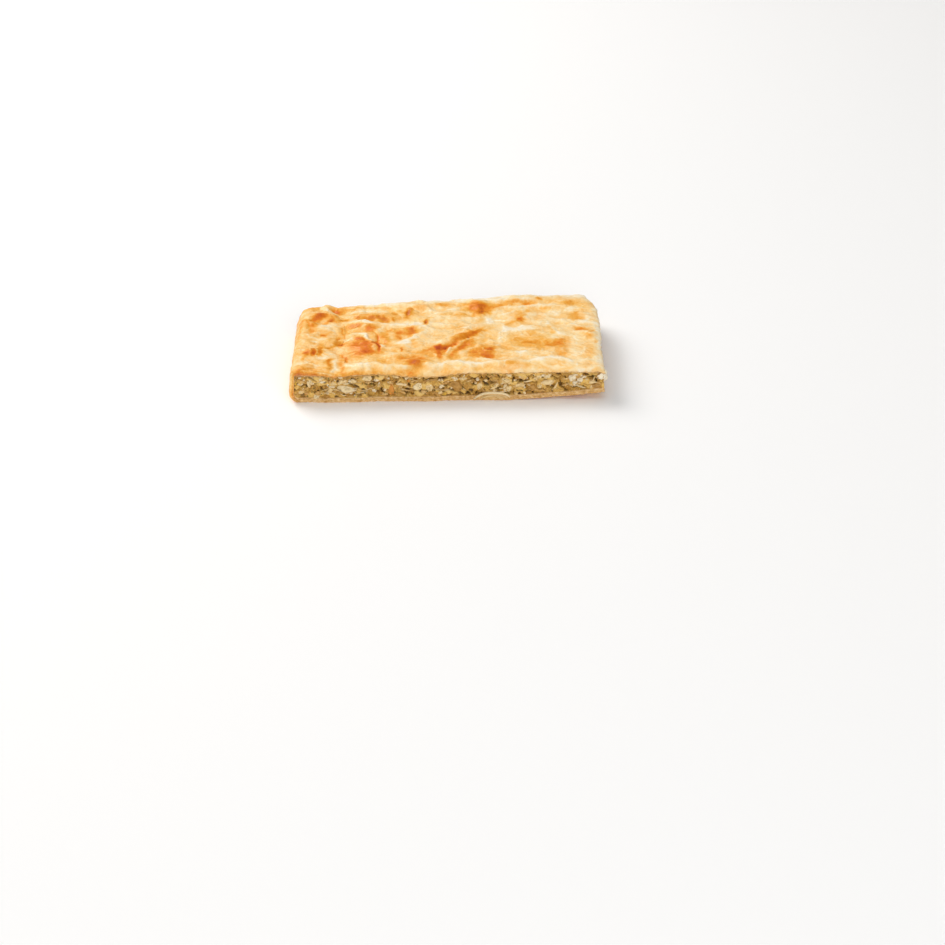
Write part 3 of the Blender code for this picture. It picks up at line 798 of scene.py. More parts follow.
@dataclass
class BakedSurface:
    """Browning and fine relief that the oven gave the lid and the flap."""

    plan: SlicePlan
    puff_height: float = 0.7
    wave_height: float = 0.45
    crumple_height: float = 0.55
    grain_height: float = 0.10
    crease_height: float = 0.26
    sinking: float = 0.32  # brings the mean of the relief back to the plan
    calm_share: float = 0.6  # of the relief, at the calmer right-hand end
    mean_bake: float = 0.355
    paler_right: float = 0.05
    least_bake: float = 0.04
    pale_back_edge: float = 0.26
    pale_right_edge: float = 0.14
    pale_edge_width: float = 9.0

    def __post_init__(self) -> None:
        """Sets up the noises and the cells of the blisters."""
        self._drift, self._mottle, self._wrinkle, self._grain = map(GradientNoise, range(11, 15))
        self._large = ChoppedCells(15, (11.0, 8.5, 8.0))
        self._small = ChoppedCells(16, (5.2, 4.2, 4.0))

    def _drifted(self, x: Array, y: Array) -> tuple[Array, Array]:
        """The same points, moved a little, so that no outline stays an ellipse.

        Args:
            x: x of each point.
            y: y of each point.

        Returns:
            x and y of the moved points.
        """
        by_x = 1.5 * self._drift(x / 5.0, y / 5.0) + 0.6 * self._drift(x / 2.0, y / 2.0, 4.0)
        by_y = 1.2 * self._drift(x / 5.0, y / 5.0, 9.0) + 0.5 * self._drift(x / 2.0, y / 2.0, 13.0)
        return x + by_x, y + by_y

    def _blistered(self, cells: ChoppedCells, x: Array, y: Array) -> tuple[Array, Array, Array]:
        """Blisters of one size.

        Args:
            cells: cells of the blisters.
            x: x of each point.
            y: y of each point.

        Returns:
            A dome over each blister, a line between neighbours, and the blister's own number.
        """
        places = np.stack([x.ravel(), y.ravel(), np.full(x.size, 2.0)], axis=-1)
        _, apart, number = cells(places)
        dome = 1.0 - np.exp(-3.2 * apart)
        line = np.exp(-((apart / 0.11) ** 2))
        return dome.reshape(x.shape), line.reshape(x.shape), number.reshape(x.shape)

    def texture(self, x: Array, y: Array) -> tuple[Array, Array, Array]:
        """Blisters and creases.

        Args:
            x: x of each point.
            y: y of each point.

        Returns:
            How far each point is puffed up, the share of a crease, and the browning of blisters.
        """
        at_x = x + 2.6 * self._drift(x / 8.0, y / 8.0, 21.0) + 0.8 * self._drift(x / 2.5, y / 2.5, 25.0)
        at_y = y + 2.2 * self._drift(x / 8.0, y / 8.0, 31.0) + 0.7 * self._drift(x / 2.5, y / 2.5, 35.0)
        large, large_line, large_own = self._blistered(self._large, at_x, at_y)
        small, small_line, small_own = self._blistered(self._small, at_x, at_y)
        lively = ease(self._mottle(x / 16.0, y / 14.0, 41.0) - 0.004 * x, -0.35, 0.45)
        some = ease(self._wrinkle(x / 7.0, y / 7.0, 8.0), -0.1, 0.4)
        others = ease(self._wrinkle(x / 7.0, y / 7.0, 18.0), -0.05, 0.35)
        wide = self._wrinkle.layered(x / 10.0, y / 8.0, 0.0, 3)
        run = np.exp(-((wide / 0.055) ** 2))
        crease = np.maximum(np.maximum(large_line * some, small_line * others * 0.8), 0.8 * run * some)
        puff = large * ease(large_own, 0.1, 0.9) + 0.5 * lively * small * ease(small_own, 0.2, 1.0)
        brown = large * (large_own - 0.45) + 0.55 * small * (small_own - 0.5) * (0.4 + 0.6 * lively)
        return puff, crease, brown

    def _crumpled(self, x: Array, y: Array) -> Array:
        """Broad soft folds of the dough, between -1 in a hollow and 1 on a crest.

        Args:
            x: x of each point.
            y: y of each point.

        Returns:
            A value for each point.
        """
        wide = self._mottle(x / 15.0 + 0.3 * y / 9.0, y / 9.0, 71.0)
        narrow = self._mottle(x / 8.0, y / 5.0, 77.0)
        crests = 1.0 - 2.2 * np.abs(wide + 0.45 * narrow)
        return np.clip(crests, -1.0, 1.0)

    def relief(self, x: Array, y: Array) -> Array:
        """Fine height of the surface above its plan.

        Args:
            x: x of each point.
            y: y of each point.

        Returns:
            The height at each point.
        """
        at_x, at_y = self._drifted(x, y)
        height = sum(fold.height * fold.share(at_x, at_y) for fold in FOLDS)
        puff, crease, _ = self.texture(x, y)
        calm = blend(1.0, self.calm_share, ease(x, 0.0, 50.0))
        waves = self.wave_height * self._mottle.layered(x / 8.0, y / 6.5, 2.0, 3)
        height = height + calm * (self.puff_height * puff + waves)
        height = height + self.crumple_height * calm * self._crumpled(x, y)
        height = height + self.grain_height * self._grain.layered(x / 1.7, y / 1.5, 1.0, 3)
        return height + self.crease_height * crease - self.sinking

    def browning(self, x: Array, y: Array) -> tuple[Array, Array]:
        """How far each point is baked, and the tone of its browning.

        Args:
            x: x of each point.
            y: y of each point.

        Returns:
            The browning, from 0, pale, to 1, dark brown, and the tone, from 0, golden, to 1, orange.
        """
        plan = self.plan
        at_x, at_y = self._drifted(x, y)
        bake = self.mean_bake - self.paler_right * ease(x, -40.0, 60.0)
        bake = bake + 0.12 * self._mottle.layered(x / 11.0, y / 8.0, 0.0, 4)
        bake = bake + 0.05 * self._grain.layered(x / 2.4, y / 2.0, 3.0, 3)
        tone = 0.9 * self._mottle.layered(x / 14.0, y / 11.0, 61.0, 3) - 0.15
        # A few patches and folds paint highlights or shade instead of baking; the tables mark them.
        for patch in PATCHES:
            share = patch.share(at_x, at_y)
            bake = bake + patch.height * share
            tone = blend(tone, patch.tone, np.minimum(1.0, share * min(1.0, 5.0 * abs(patch.height))))
        for fold in FOLDS:
            share = fold.share(at_x, at_y)
            bake = bake + fold.browning * share
            tone = blend(tone, fold.tone, share * min(1.0, 4.0 * abs(fold.browning)))
        _, crease, brown = self.texture(x, y)
        bake = bake + 0.21 * brown - 0.12 * crease - 0.06 * self._crumpled(x, y)
        from_back = 1.0 - ease(plan.back_cut(x) - y, 0.0, self.pale_edge_width)
        bake = bake - self.pale_back_edge * from_back * ease(x, -66.0, -48.0)
        from_right = 1.0 - ease(plan.right_cut(y) - x, 0.0, self.pale_edge_width)
        bake = bake - self.pale_right_edge * from_right
        return np.maximum(bake, self.least_bake), np.clip(0.5 + 0.5 * tone, 0.0, 1.0)


# ---------------------------------------------------------------- finishes


def new_material(name: str) -> tuple[bpy.types.Material, bpy.types.NodeTree, bpy.types.Node]:
    """Starts a material.

    Args:
        name: its name.

    Returns:
        The material, its node tree and its shader.
    """
    made = bpy.data.materials.new(name)
    made.use_nodes = True
    return made, made.node_tree, made.node_tree.nodes["Principled BSDF"]


@dataclass(frozen=True)
class EggWashedShortcrust:
    """Shortcrust brushed with egg and oven-baked: the wash browns on blisters and shines a little.

    The dough's own surface is matt and grainy. Where it was cut, its pale crumb shows.
    """

    name: str
    roughness: float = 0.50
    wash: float = 0.22  # share of the thin glossy coat
    wash_roughness: float = 0.22
    grain_mm: float = 0.7
    grain_depth_mm: float = 0.25
    freckle_mm: float = 1.6
    freckle_swing: float = 0.07
    places: tuple[float, ...] = (0.0, 0.15, 0.3, 0.45, 0.6, 0.75, 0.88, 1.0)
    golden: tuple[str, ...] = (
        "FFF4DA", "FFE4AE", "FED287", "F6B850", "E99A20", "D87C0C", "C46806", "9A4A04",
    )
    orange: tuple[str, ...] = (
        "FFF3DC", "FFE0AC", "FECA84", "F8AC4C", "EE8414", "E26A02", "D25A06", "BE4604",
    )
    crumb: tuple[tuple[float, str], ...] = ((0.2, "B07E40"), (0.45, "DCAC6A"), (0.75, "F2D09A"))

    def material(self) -> bpy.types.Material:
        """Makes the material, which reads the attributes browning, tone, cut and layer.

        Returns:
            The material.
        """
        made, tree, shader = new_material(self.name)
        place = add_node(tree, "TexCoord").outputs["Object"]
        browning, tone, cut, layer = (
            add_node(tree, "Attribute", {"attribute_name": title}).outputs["Fac"]
            for title in ("browning", "tone", "cut", "layer")
        )
        pattern = {"Scale": 1.0 / (self.freckle_mm * MM), "Detail": 4.0, "Roughness": 0.6}
        freckles = add_node(tree, "TexNoise", pattern, {"Vector": place}).outputs["Fac"]
        swing = self.freckle_swing
        limits = {"From Min": 0.25, "From Max": 0.75, "To Min": -swing, "To Max": swing}
        shift = add_node(tree, "MapRange", limits, {"Value": freckles}).outputs["Result"]
        baked = add_node(tree, "Math", {"operation": "ADD"}, {0: browning, 1: shift})
        ramps = []
        for colors in (self.golden, self.orange):
            ramp = add_node(tree, "ValToRGB", None, {"Fac": baked.outputs["Value"]})
            set_ramp(ramp, tuple(zip(self.places, colors)))
            ramps.append(ramp.outputs["Color"])
        crust = add_node(tree, "Mix", {"data_type": "RGBA"}, {0: tone, 6: ramps[0], 7: ramps[1]})
        # layer holds the cut edge's painted light and shade, which the crumb ramp shows.
        crumbly = add_node(tree, "Math", {"operation": "MULTIPLY"}, {0: freckles, 1: layer})
        crumb = add_node(tree, "ValToRGB", None, {"Fac": crumbly.outputs["Value"]})
        set_ramp(crumb, self.crumb)
        mixed = {0: cut, 6: crust.outputs[2], 7: crumb.outputs["Color"]}
        color = add_node(tree, "Mix", {"data_type": "RGBA"}, mixed)
        tree.links.new(color.outputs[2], shader.inputs["Base Color"])
        pattern = {"Scale": 1.0 / (self.grain_mm * MM), "Detail": 5.0, "Roughness": 0.65}
        grain = add_node(tree, "TexNoise", pattern, {"Vector": place}).outputs["Fac"]
        relief = {"Strength": 0.35, "Distance": self.grain_depth_mm * MM}
        bump = add_node(tree, "Bump", relief, {"Height": grain})
        tree.links.new(bump.outputs["Normal"], shader.inputs["Normal"])
        low, high = self.roughness - 0.08, self.roughness + 0.16
        limits = {"From Min": 0.3, "From Max": 0.7, "To Min": low, "To Max": high}
        rough = add_node(tree, "MapRange", limits, {"Value": grain}).outputs["Result"]
        dry = add_node(tree, "Math", {"operation": "MAXIMUM"}, {0: rough, 1: cut})
        tree.links.new(dry.outputs["Value"], shader.inputs["Roughness"])
        shader.inputs["IOR"].default_value = 1.33
        shader.inputs["Coat Weight"].default_value = self.wash
        shader.inputs["Coat Roughness"].default_value = self.wash_roughness
        shader.inputs["Coat IOR"].default_value = 1.45
        return made


@dataclass(frozen=True)
class MoistChopped:
    """Cooked, chopped vegetable and cheese: moist, soft and a little see-through at thin edges.

    Each piece has its own tint, and the gaps between the pieces are painted dark as shade.
    """

    name: str
    stops: tuple[tuple[float, str], ...]
    # Colour of the painted shade deep in the gaps between pieces.
    gap_shade_color: str = "4E300E"
    roughness: float = 0.42
    fibre_mm: float = 0.55
    fibre_depth_mm: float = 0.3
    bump: float = 0.3
    tint_swing: float = 0.12

    def material(self) -> bpy.types.Material:
        """Makes the material, which reads the attributes tint and depth.

        Returns:
            The material.
        """
        made, tree, shader = new_material(self.name)
        place = add_node(tree, "TexCoord").outputs["Object"]
        tint, depth = (
            add_node(tree, "Attribute", {"attribute_name": title}).outputs["Fac"]
            for title in ("tint", "depth")
        )
        pattern = {"Scale": 1.0 / (self.fibre_mm * MM), "Detail": 4.0, "Roughness": 0.6}
        fibre = add_node(tree, "TexNoise", pattern, {"Vector": place}).outputs["Fac"]
        swing = self.tint_swing
        limits = {"From Min": 0.3, "From Max": 0.7, "To Min": -swing, "To Max": swing}
        shift = add_node(tree, "MapRange", limits, {"Value": fibre}).outputs["Result"]
        tinted = add_node(tree, "Math", {"operation": "ADD"}, {0: tint, 1: shift})
        ramp = add_node(tree, "ValToRGB", None, {"Fac": tinted.outputs["Value"]})
        set_ramp(ramp, self.stops)
        # Painted shade: depth mixes the colour towards the gap shade colour.
        gaps = {"data_type": "RGBA", 7: linear(self.gap_shade_color)}
        color = add_node(tree, "Mix", gaps, {0: depth, 6: ramp.outputs["Color"]})
        tree.links.new(color.outputs[2], shader.inputs["Base Color"])
        relief = {"Strength": self.bump, "Distance": self.fibre_depth_mm * MM}
        bump = add_node(tree, "Bump", relief, {"Height": fibre})
        tree.links.new(bump.outputs["Normal"], shader.inputs["Normal"])
        shader.inputs["Roughness"].default_value = self.roughness
        shader.inputs["IOR"].default_value = 1.40
        return made


@dataclass(frozen=True)
class MattPaint:
    """Matt painted board, as a studio floor is: no pattern and hardly any shine."""

    name: str = "matt_painted_board"
    color: str = "FFFFFF"
    roughness: float = 0.85

    def material(self) -> bpy.types.Material:
        """Makes the material.

        Returns:
            The material.
        """
        made, _, shader = new_material(self.name)
        shader.inputs["Base Color"].default_value = linear(self.color)
        shader.inputs["Roughness"].default_value = self.roughness
        shader.inputs["Specular IOR Level"].default_value = 0.1
        return made


# ---------------------------------------------------------------- making meshes


def make_piece(
    name: str,
    points: Array,
    faces: list[Face],
    material: bpy.types.Material,
    attributes: dict[str, Array],
) -> bpy.types.Object:
    """Makes a smooth-shaded object.

    Args:
        name: name of the piece.
        points: its points in millimetres.
        faces: point numbers of each face.
        material: its material.
        attributes: a value for each point, by name.

    Returns:
        The object, linked to the scene.
    """
    mesh = bpy.data.meshes.new(name)
    mesh.from_pydata((points * MM).tolist(), [], faces)
    for title, values in attributes.items():
        attribute = mesh.attributes.new(title, "FLOAT", "POINT")
        attribute.data.foreach_set("value", np.asarray(values, np.float32))
    mesh.materials.append(material)
    mesh.shade_smooth()
    mesh.update()
    piece = bpy.data.objects.new(name, mesh)
    bpy.context.scene.collection.objects.link(piece)
    return piece


class ClosedGrid:
    """A closed body: a front grid, loops round its border, and a back grid of larger faces."""

    def __init__(self, columns: int, rows: int, loops: int, front_step: int, back_step: int) -> None:
        """Numbers the points.

        Args:
            columns: faces along the first direction.
            rows: faces along the second direction.
            loops: bands of faces between the front and the back.
            front_step: how many columns and rows one face of the front takes.
            back_step: how many columns and rows one face of the back takes.
        """
        self.columns, self.rows, self.loops = columns, rows, loops
        self._steps = (front_step, back_step)
        bottom = [(i, 0) for i in range(columns)]
        right = [(columns, j) for j in range(rows)]
        top = [(i, rows) for i in range(columns, 0, -1)]
        left = [(0, j) for j in range(rows, 0, -1)]
        self.border = np.array(bottom + right + top + left)
        self._inner = [self._inner_places(step) for step in self._steps]

    def _inner_places(self, step: int) -> Array:
        """Column and row of each point inside a grid of this step.

        Args:
            step: how many columns and rows one face takes.

        Returns:
            A row for each point.
        """
        columns = np.arange(step, self.columns, step)
        rows = np.arange(step, self.rows, step)
        return np.stack(np.meshgrid(columns, rows, indexing="ij"), axis=-1).reshape(-1, 2)

    def places(self) -> tuple[Array, Array]:
        """Where each point is.

        Returns:
            The column and row of each point, and its level, from 0 at the front to 1 at the back.
        """
        count = len(self.border)
        spots = [self.border] * (self.loops + 1) + self._inner
        levels = [np.full(count, loop / self.loops) for loop in range(self.loops + 1)]
        levels += [np.zeros(len(self._inner[0])), np.ones(len(self._inner[1]))]
        return np.concatenate(spots), np.concatenate(levels)

    def sides(self, spots: Array) -> tuple[Array, Array]:
        """Which side of the grid each point lies on.

        Args:
            spots: column and row of each point.

        Returns:
            -1 on the first column, 1 on the last and 0 elsewhere, and the same for the rows.
        """
        first, last = (spots == 0).T, (spots == (self.columns, self.rows)).T
        by_column, by_row = np.where(last, 1.0, np.where(first, -1.0, 0.0))
        return by_column, by_row

    def _cap(self, step: int, border_start: int, inner_start: int) -> list[Face]:
        """Faces of one grid, where those beside the border take in all of its points.

        Args:
            step: how many columns and rows one face takes.
            border_start: number of the border's first point.
            inner_start: number of the first point inside.

        Returns:
            Point numbers of each face.
        """
        table = np.full((self.columns + 1, self.rows + 1), -1)
        table[self.border[:, 0], self.border[:, 1]] = border_start + np.arange(len(self.border))
        inner = self._inner_places(step)
        table[inner[:, 0], inner[:, 1]] = inner_start + np.arange(len(inner))
        faces = []
        starts = range(0, self.columns, step), range(0, self.rows, step)
        for low_i, low_j in itertools.product(*starts):
            high_i, high_j = low_i + step, low_j + step
            down = step if low_j == 0 else 1
            right = step if high_i == self.columns else 1
            up = step if high_j == self.rows else 1
            left = step if low_i == 0 else 1
            face = [table[low_i + k, low_j] for k in range(down)]
            face += [table[high_i, low_j + k] for k in range(right)]
            face += [table[high_i - k, high_j] for k in range(up)]
            face += [table[low_i, high_j - k] for k in range(left)]
            faces.append(face)
        return faces

    def faces(self) -> list[Face]:
        """Every face of the body, all facing out.

        Returns:
            Point numbers of each face.
        """
        count = len(self.border)
        here = np.arange(count)
        after = np.roll(here, -1)
        bands = []
        for loop in range(self.loops):
            outer, inner = loop * count, (loop + 1) * count
            band = np.stack([here + outer, here + inner, after + inner, after + outer], axis=-1)
            bands += band.tolist()
        front_inner = (self.loops + 1) * count
        back_inner = front_inner + len(self._inner[0])
        front = self._cap(self._steps[0], 0, front_inner)
        back = self._cap(self._steps[1], self.loops * count, back_inner)
        return front + bands + [face[::-1] for face in back]


SHORT_CUT_SHIFT = 300.0  # mm, so that the layers of the short cut differ from those of the long ones


class Laminations:
    """Thin layers of the dough that show at its cut edge."""

    def __init__(self, seed: int, layers: int, depth: float) -> None:
        """Sets up the layers.

        Args:
            seed: number that tells one edge from another.
            layers: how many layers the dough has.
            depth: how far a layer stands out of the cut or behind it.
        """
        self._noise = GradientNoise(seed)
        self._layers = layers
        self._depth = depth

    def shape(self, along: Array, level: Array) -> tuple[Array, Array]:
        """Relief of the cut edge.

        Args:
            along: distance along the cut.
            level: from 0 at the upper face to 1 at the lower.

        Returns:
            How far each point stands out, and its lightness, which paints shade in a groove and light on
            a layer: 0 in a groove and 1 on a layer.
        """
        bent = level + 0.10 * self._noise(along / 4.0, 3.0, 9.0)
        layer = np.floor(bent * self._layers)
        groove = 0.5 + 0.5 * np.cos(2.0 * math.pi * bent * self._layers)
        ragged = self._noise.layered(along / 2.2, layer * 5.7, 0.0, 3)
        crumbs = self._noise.layered(along / 0.9, level * 4.0, 6.0, 2)
        inside = np.sqrt(np.sin(math.pi * np.clip(level, 0.0, 1.0)))
        out = inside * self._depth * (ragged + 0.5 * crumbs - 0.45 * groove)
        patchy = ease(self._noise(along / 3.1, layer * 3.3, 14.0), -0.5, 0.5)
        # Painted light and shade: layers that stand out are lighter and grooves darker.
        light = np.clip(0.95 + 0.75 * ragged + 0.4 * crumbs - 0.55 * groove * patchy, 0.15, 1.6)
        return out, light


# ---------------------------------------------------------------- baked lid


@dataclass
class BakedLid:
    """The pastry lid: blistered on top, layered at its knife cuts, tucked under the flap."""

    plan: SlicePlan
    surface: BakedSurface
    columns: int = 396
    rows: int = 192
    edge_loops: int = 8
    back_step: int = 4
    layers: int = 4
    layer_depth: float = 0.45
    edge_rounding: float = 1.0
    ragged: float = 0.28
    fray_length: float = 3.0
    unevenness: float = 0.45
    rounding_width: float = 1.5
    tuck_height: float = 17.0  # where the lid's hidden end meets the rim
    tuck: float = 0.3
    smooth_behind_edge: float = 7.0  # how far behind the flap's edge the hidden lid is plain
    rough_behind_edge: float = 4.0

    def _frayed(self, noise: GradientNoise, distance: Array, phase: float) -> Array:
        """How far the dough strays from the knife's line at this distance along a cut."""
        return self.ragged * noise.layered(distance / self.fray_length, phase, 0.0, 3)

    def build(self, material: bpy.types.Material) -> bpy.types.Object:
        """Makes the lid.

        Args:
            material: pastry finish.

        Returns:
            The lid.
        """
        plan = self.plan
        grid = ClosedGrid(self.columns, self.rows, self.edge_loops, 1, self.back_step)
        spots, level = grid.places()
        across = spots[:, 1] / self.rows
        along = spots[:, 0] / self.columns
        fray = GradientNoise(21)
        y = blend(plan.front_cut_y, plan.back_cut_y_at_right, across)
        start = plan.case_inside(y, np.float64(self.tuck_height)) - self.tuck
        x = blend(start, plan.right_cut(y), along)
        for _ in range(2):
            front = plan.front_cut(x) + self._frayed(fray, x, 1.0)
            back = plan.back_cut(x) + self._frayed(fray, x, 5.0)
            y = blend(front, back, across)
            x = blend(start, plan.right_cut(y) + self._frayed(fray, y, 9.0), along)
        top = plan.lid_top(x, y)
        edge_x = plan.flap_edge(y)
        hidden = 1.0 - ease(x, edge_x - self.smooth_behind_edge, edge_x - self.rough_behind_edge)
        relief = (1.0 - hidden) * self.surface.relief(x, y)
        from_edge = np.minimum(y - plan.front_cut(x), plan.back_cut(x) - y)
        from_edge = np.minimum(from_edge, plan.right_cut(y) - x)
        flatness = np.clip(from_edge / self.rounding_width, 0.0, 1.0)
        outer = top + relief - self.edge_rounding * (1.0 - flatness) ** 2
        places = (x / self.fray_length, y / self.fray_length)
        inner = plan.lid_underside(x, y) + self.unevenness * fray.layered(*places, 7.0, 3)
        z = blend(outer, inner, level)
        side_x, side_y = grid.sides(spots)
        edge = (level > 0.0) & (level < 1.0)
        out_x, out_y = np.maximum(side_x, 0.0) * edge, side_y * edge
        layers = Laminations(22, self.layers, self.layer_depth)
        stand_out, light = layers.shape(np.where(out_y != 0.0, x, y + SHORT_CUT_SHIFT), level)
        x = x + out_x * stand_out
        y = y + out_y * stand_out
        browning, tone = self.surface.browning(x, y)
        on_cut = ((side_y != 0.0) | (side_x > 0.0)) & (level > 0.0)
        cut = np.maximum(hidden, np.where(on_cut, ease(level, 0.3, 0.8), 0.0))
        points = np.stack([x, y, z], axis=-1)
        values = {"browning": browning, "tone": tone, "cut": cut, "layer": light}
        return make_piece("blistered_lid", points, grid.faces(), material, values)


# ---------------------------------------------------------------- folded case


@dataclass
class FoldedCase:
    """The pastry case: underside, baked rim and the flap folded over the lid."""

    plan: SlicePlan
    surface: BakedSurface
    floor_columns: int = 200
    base_columns: int = 20
    wall_columns: int = 24
    shoulder_columns: int = 16
    flap_columns: int = 60
    rows: int = 168
    edge_loops: int = 8
    back_step: int = 4
    layers: int = 5
    layer_depth: float = 0.45
    ragged: float = 0.22
    fray_length: float = 3.0
    torn_edge: float = 0.4  # how round the flap's edge is
    baked_on: float = 0.25  # how far the flap is pressed into the lid beyond the solids' gap
    gaping: float = 0.3
    chip_depth: float = 0.7
    chip_length: float = 1.8
    rim_bake: float = 0.38
    cut_bake_outside: float = -0.14
    cut_bake_inside: float = 0.24
    least_bake: float = 0.08
    floor_crumb_light: float = 1.15
    floor_crumb_contrast: float = 0.5

    @property
    def columns(self) -> int:
        """Faces along the whole outline."""
        rim = self.base_columns + self.wall_columns + self.shoulder_columns
        return self.floor_columns + rim + self.flap_columns

    @property
    def columns_to_wall(self) -> int:
        """Faces from the knife cut up to the wall."""
        return self.floor_columns + self.base_columns

    def outline(self, y: Array) -> tuple[Array, Array, Array]:
        """Outer outline of the case at each y.

        Args:
            y: distances across the slice, one for each row.

        Returns:
            x, z and thickness, with a column for each step along the outline.
        """
        plan = self.plan
        y = y[:, None]
        draft, radius = plan.rim_shape(y)
        base_x = plan.rim_x + plan.base_radius
        wall_angle = math.pi - draft
        wall_x = base_x + plan.base_radius * np.cos(wall_angle)
        wall_z = plan.base_radius + plan.base_radius * np.sin(wall_angle)
        top_x = wall_x + radius
        for _ in range(3):
            shoulder_z = plan.flap_top(top_x, y) - radius
            rise = shoulder_z + radius * np.sin(wall_angle) - wall_z
            top_x = wall_x + rise * np.tan(draft) - radius * np.cos(wall_angle)
        part = np.arange(self.floor_columns) / self.floor_columns
        xs = [blend(plan.right_cut(y), base_x, part)]
        zs = [plan.floor_height(xs[0])]
        angle = blend(1.5 * math.pi, wall_angle, np.arange(self.base_columns) / self.base_columns)
        xs.append(base_x + plan.base_radius * np.cos(angle))
        zs.append(plan.base_radius + plan.base_radius * np.sin(angle))
        part = np.arange(self.wall_columns) / self.wall_columns
        xs.append(wall_x + rise * part * np.tan(draft))
        zs.append(wall_z + rise * part)
        part = np.arange(self.shoulder_columns) / self.shoulder_columns
        angle = blend(wall_angle, 0.5 * math.pi, part)
        xs.append(top_x + radius * np.cos(angle))
        zs.append(shoulder_z + radius * np.sin(angle))
        part = np.arange(self.flap_columns + 1) / self.flap_columns
        flap_x = blend(top_x, plan.flap_edge(y), part)
        xs.append(flap_x)
        zs.append(plan.flap_top(flap_x, y))
        x = np.concatenate(xs, axis=1)
        z = np.concatenate(zs, axis=1)
        thickness = np.full(x.shape, plan.case_thickness)
        thickness[:, -self.flap_columns - 1 :] = plan.flap_thickness(flap_x, y)
        return x, z, thickness

    def build(self, material: bpy.types.Material) -> bpy.types.Object:
        """Makes the case.

        Args:
            material: pastry finish.

        Returns:
            The case.
        """
        plan = self.plan
        part = np.arange(self.rows + 1) / self.rows
        fray = GradientNoise(31)
        x, z, thickness = self.outline(blend(plan.front_cut_y, plan.back_cut_y_at_rim, part))
        y = blend(plan.front_cut(x), plan.back_cut(x), part[:, None])
        floor = np.arange(self.columns + 1) < self.floor_columns
        floor_part = np.arange(self.floor_columns) / self.floor_columns
        base_x = plan.rim_x + plan.base_radius
        x[:, floor] = blend(plan.right_cut(y[:, floor]), base_x, floor_part)
        z[:, floor] = plan.floor_height(x[:, floor])
        flap = np.arange(self.columns + 1) >= self.columns - self.flap_columns
        z[:, flap] = plan.flap_top(x[:, flap], y[:, flap])
        step_x = np.gradient(x, axis=1)
        step_z = np.gradient(z, axis=1)
        length = np.hypot(step_x, step_z)
        tangent_x, tangent_z = step_x / length, step_z / length
        normal_x, normal_z = -tangent_z, tangent_x
        pressing = plan.gap + self.baked_on - self.gaping * plan.flap_opening(y)
        pressed = ease(normal_z, 0.5, 0.9) * pressing
        inner_x = x - normal_x * (thickness + pressed)
        inner_z = z - normal_z * (thickness + pressed)
        places = (x / self.fray_length, z / self.fray_length)
        front = plan.front_cut(x) + self.ragged * fray.layered(*places, 0.0, 3)
        back = plan.back_cut(x) + self.ragged * fray.layered(*places, 5.0, 3)
        y = blend(front, back, part[:, None])
        relief = self._relief(x, y, z, normal_z)
        x, z = x + normal_x * relief, z + normal_z * relief

        grid = ClosedGrid(self.columns, self.rows, self.edge_loops, 1, self.back_step)
        spots, level = grid.places()
        i, j = spots[:, 0], spots[:, 1]
        at = (j, i)
        point_x = blend(x[at], inner_x[at], level)
        point_z = blend(z[at], inner_z[at], level)
        point_y = y[at]
        edge = (level > 0.0) & (level < 1.0)
        side_x, side_y = grid.sides(spots)
        out_end, out_y = side_x * edge, side_y * edge
        distance = np.cumsum(length, axis=1)
        way = np.where(out_y != 0.0, distance[at], point_y + SHORT_CUT_SHIFT)
        layers = Laminations(32, self.layers, self.layer_depth)
        stand_out, light = layers.shape(way, level)
        torn = np.where(side_x > 0.0, self.torn_edge * np.sin(math.pi * level), 0.0)
        end_out = stand_out + torn
        point_x = point_x + out_end * tangent_x[at] * end_out
        point_z = point_z + out_end * tangent_z[at] * end_out
        point_y = point_y + out_y * stand_out
        knife = (side_y != 0.0) | (side_x < 0.0)
        below = knife & (level == 0.0) & (i < self.floor_columns)
        places = (point_x / self.chip_length, point_y / self.chip_length)
        chipped = self.chip_depth * np.maximum(0.0, fray.layered(*places, 3.0, 3))
        point_z = point_z + np.where(below, chipped, 0.0)
        browning, tone = self._browning(point_x, point_y, point_z, normal_z[at])
        on_floor = i < self.floor_columns
        up_the_wall = ease(i, self.floor_columns, self.columns_to_wall)
        crumbly = blend(1.0, 0.30 * ease(level, 0.2, 0.9), up_the_wall)
        cut = np.where(knife & (level > 0.0), np.where(on_floor, 1.0, crumbly), 0.0)
        through = ease(level, 0.0, 1.0)
        baked_through = blend(self.cut_bake_outside, self.cut_bake_inside, through)
        browning = browning + np.where(knife & ~on_floor, baked_through, 0.0)
        browning = np.maximum(browning, self.least_bake)
        cut = np.where((level == 1.0) & (i < self.columns), 1.0, cut)
        cut = np.where(below, 0.85, cut)
        # The bottom crust's cut keeps half the painted light and shade of its layers.
        floor_light = blend(self.floor_crumb_light, light, self.floor_crumb_contrast)
        light = np.where(on_floor, floor_light, light)
        points = np.stack([point_x, point_y, point_z], axis=-1)
        values = {"browning": browning, "tone": tone, "cut": cut, "layer": light}
        return make_piece("folded_case", points, grid.faces(), material, values)

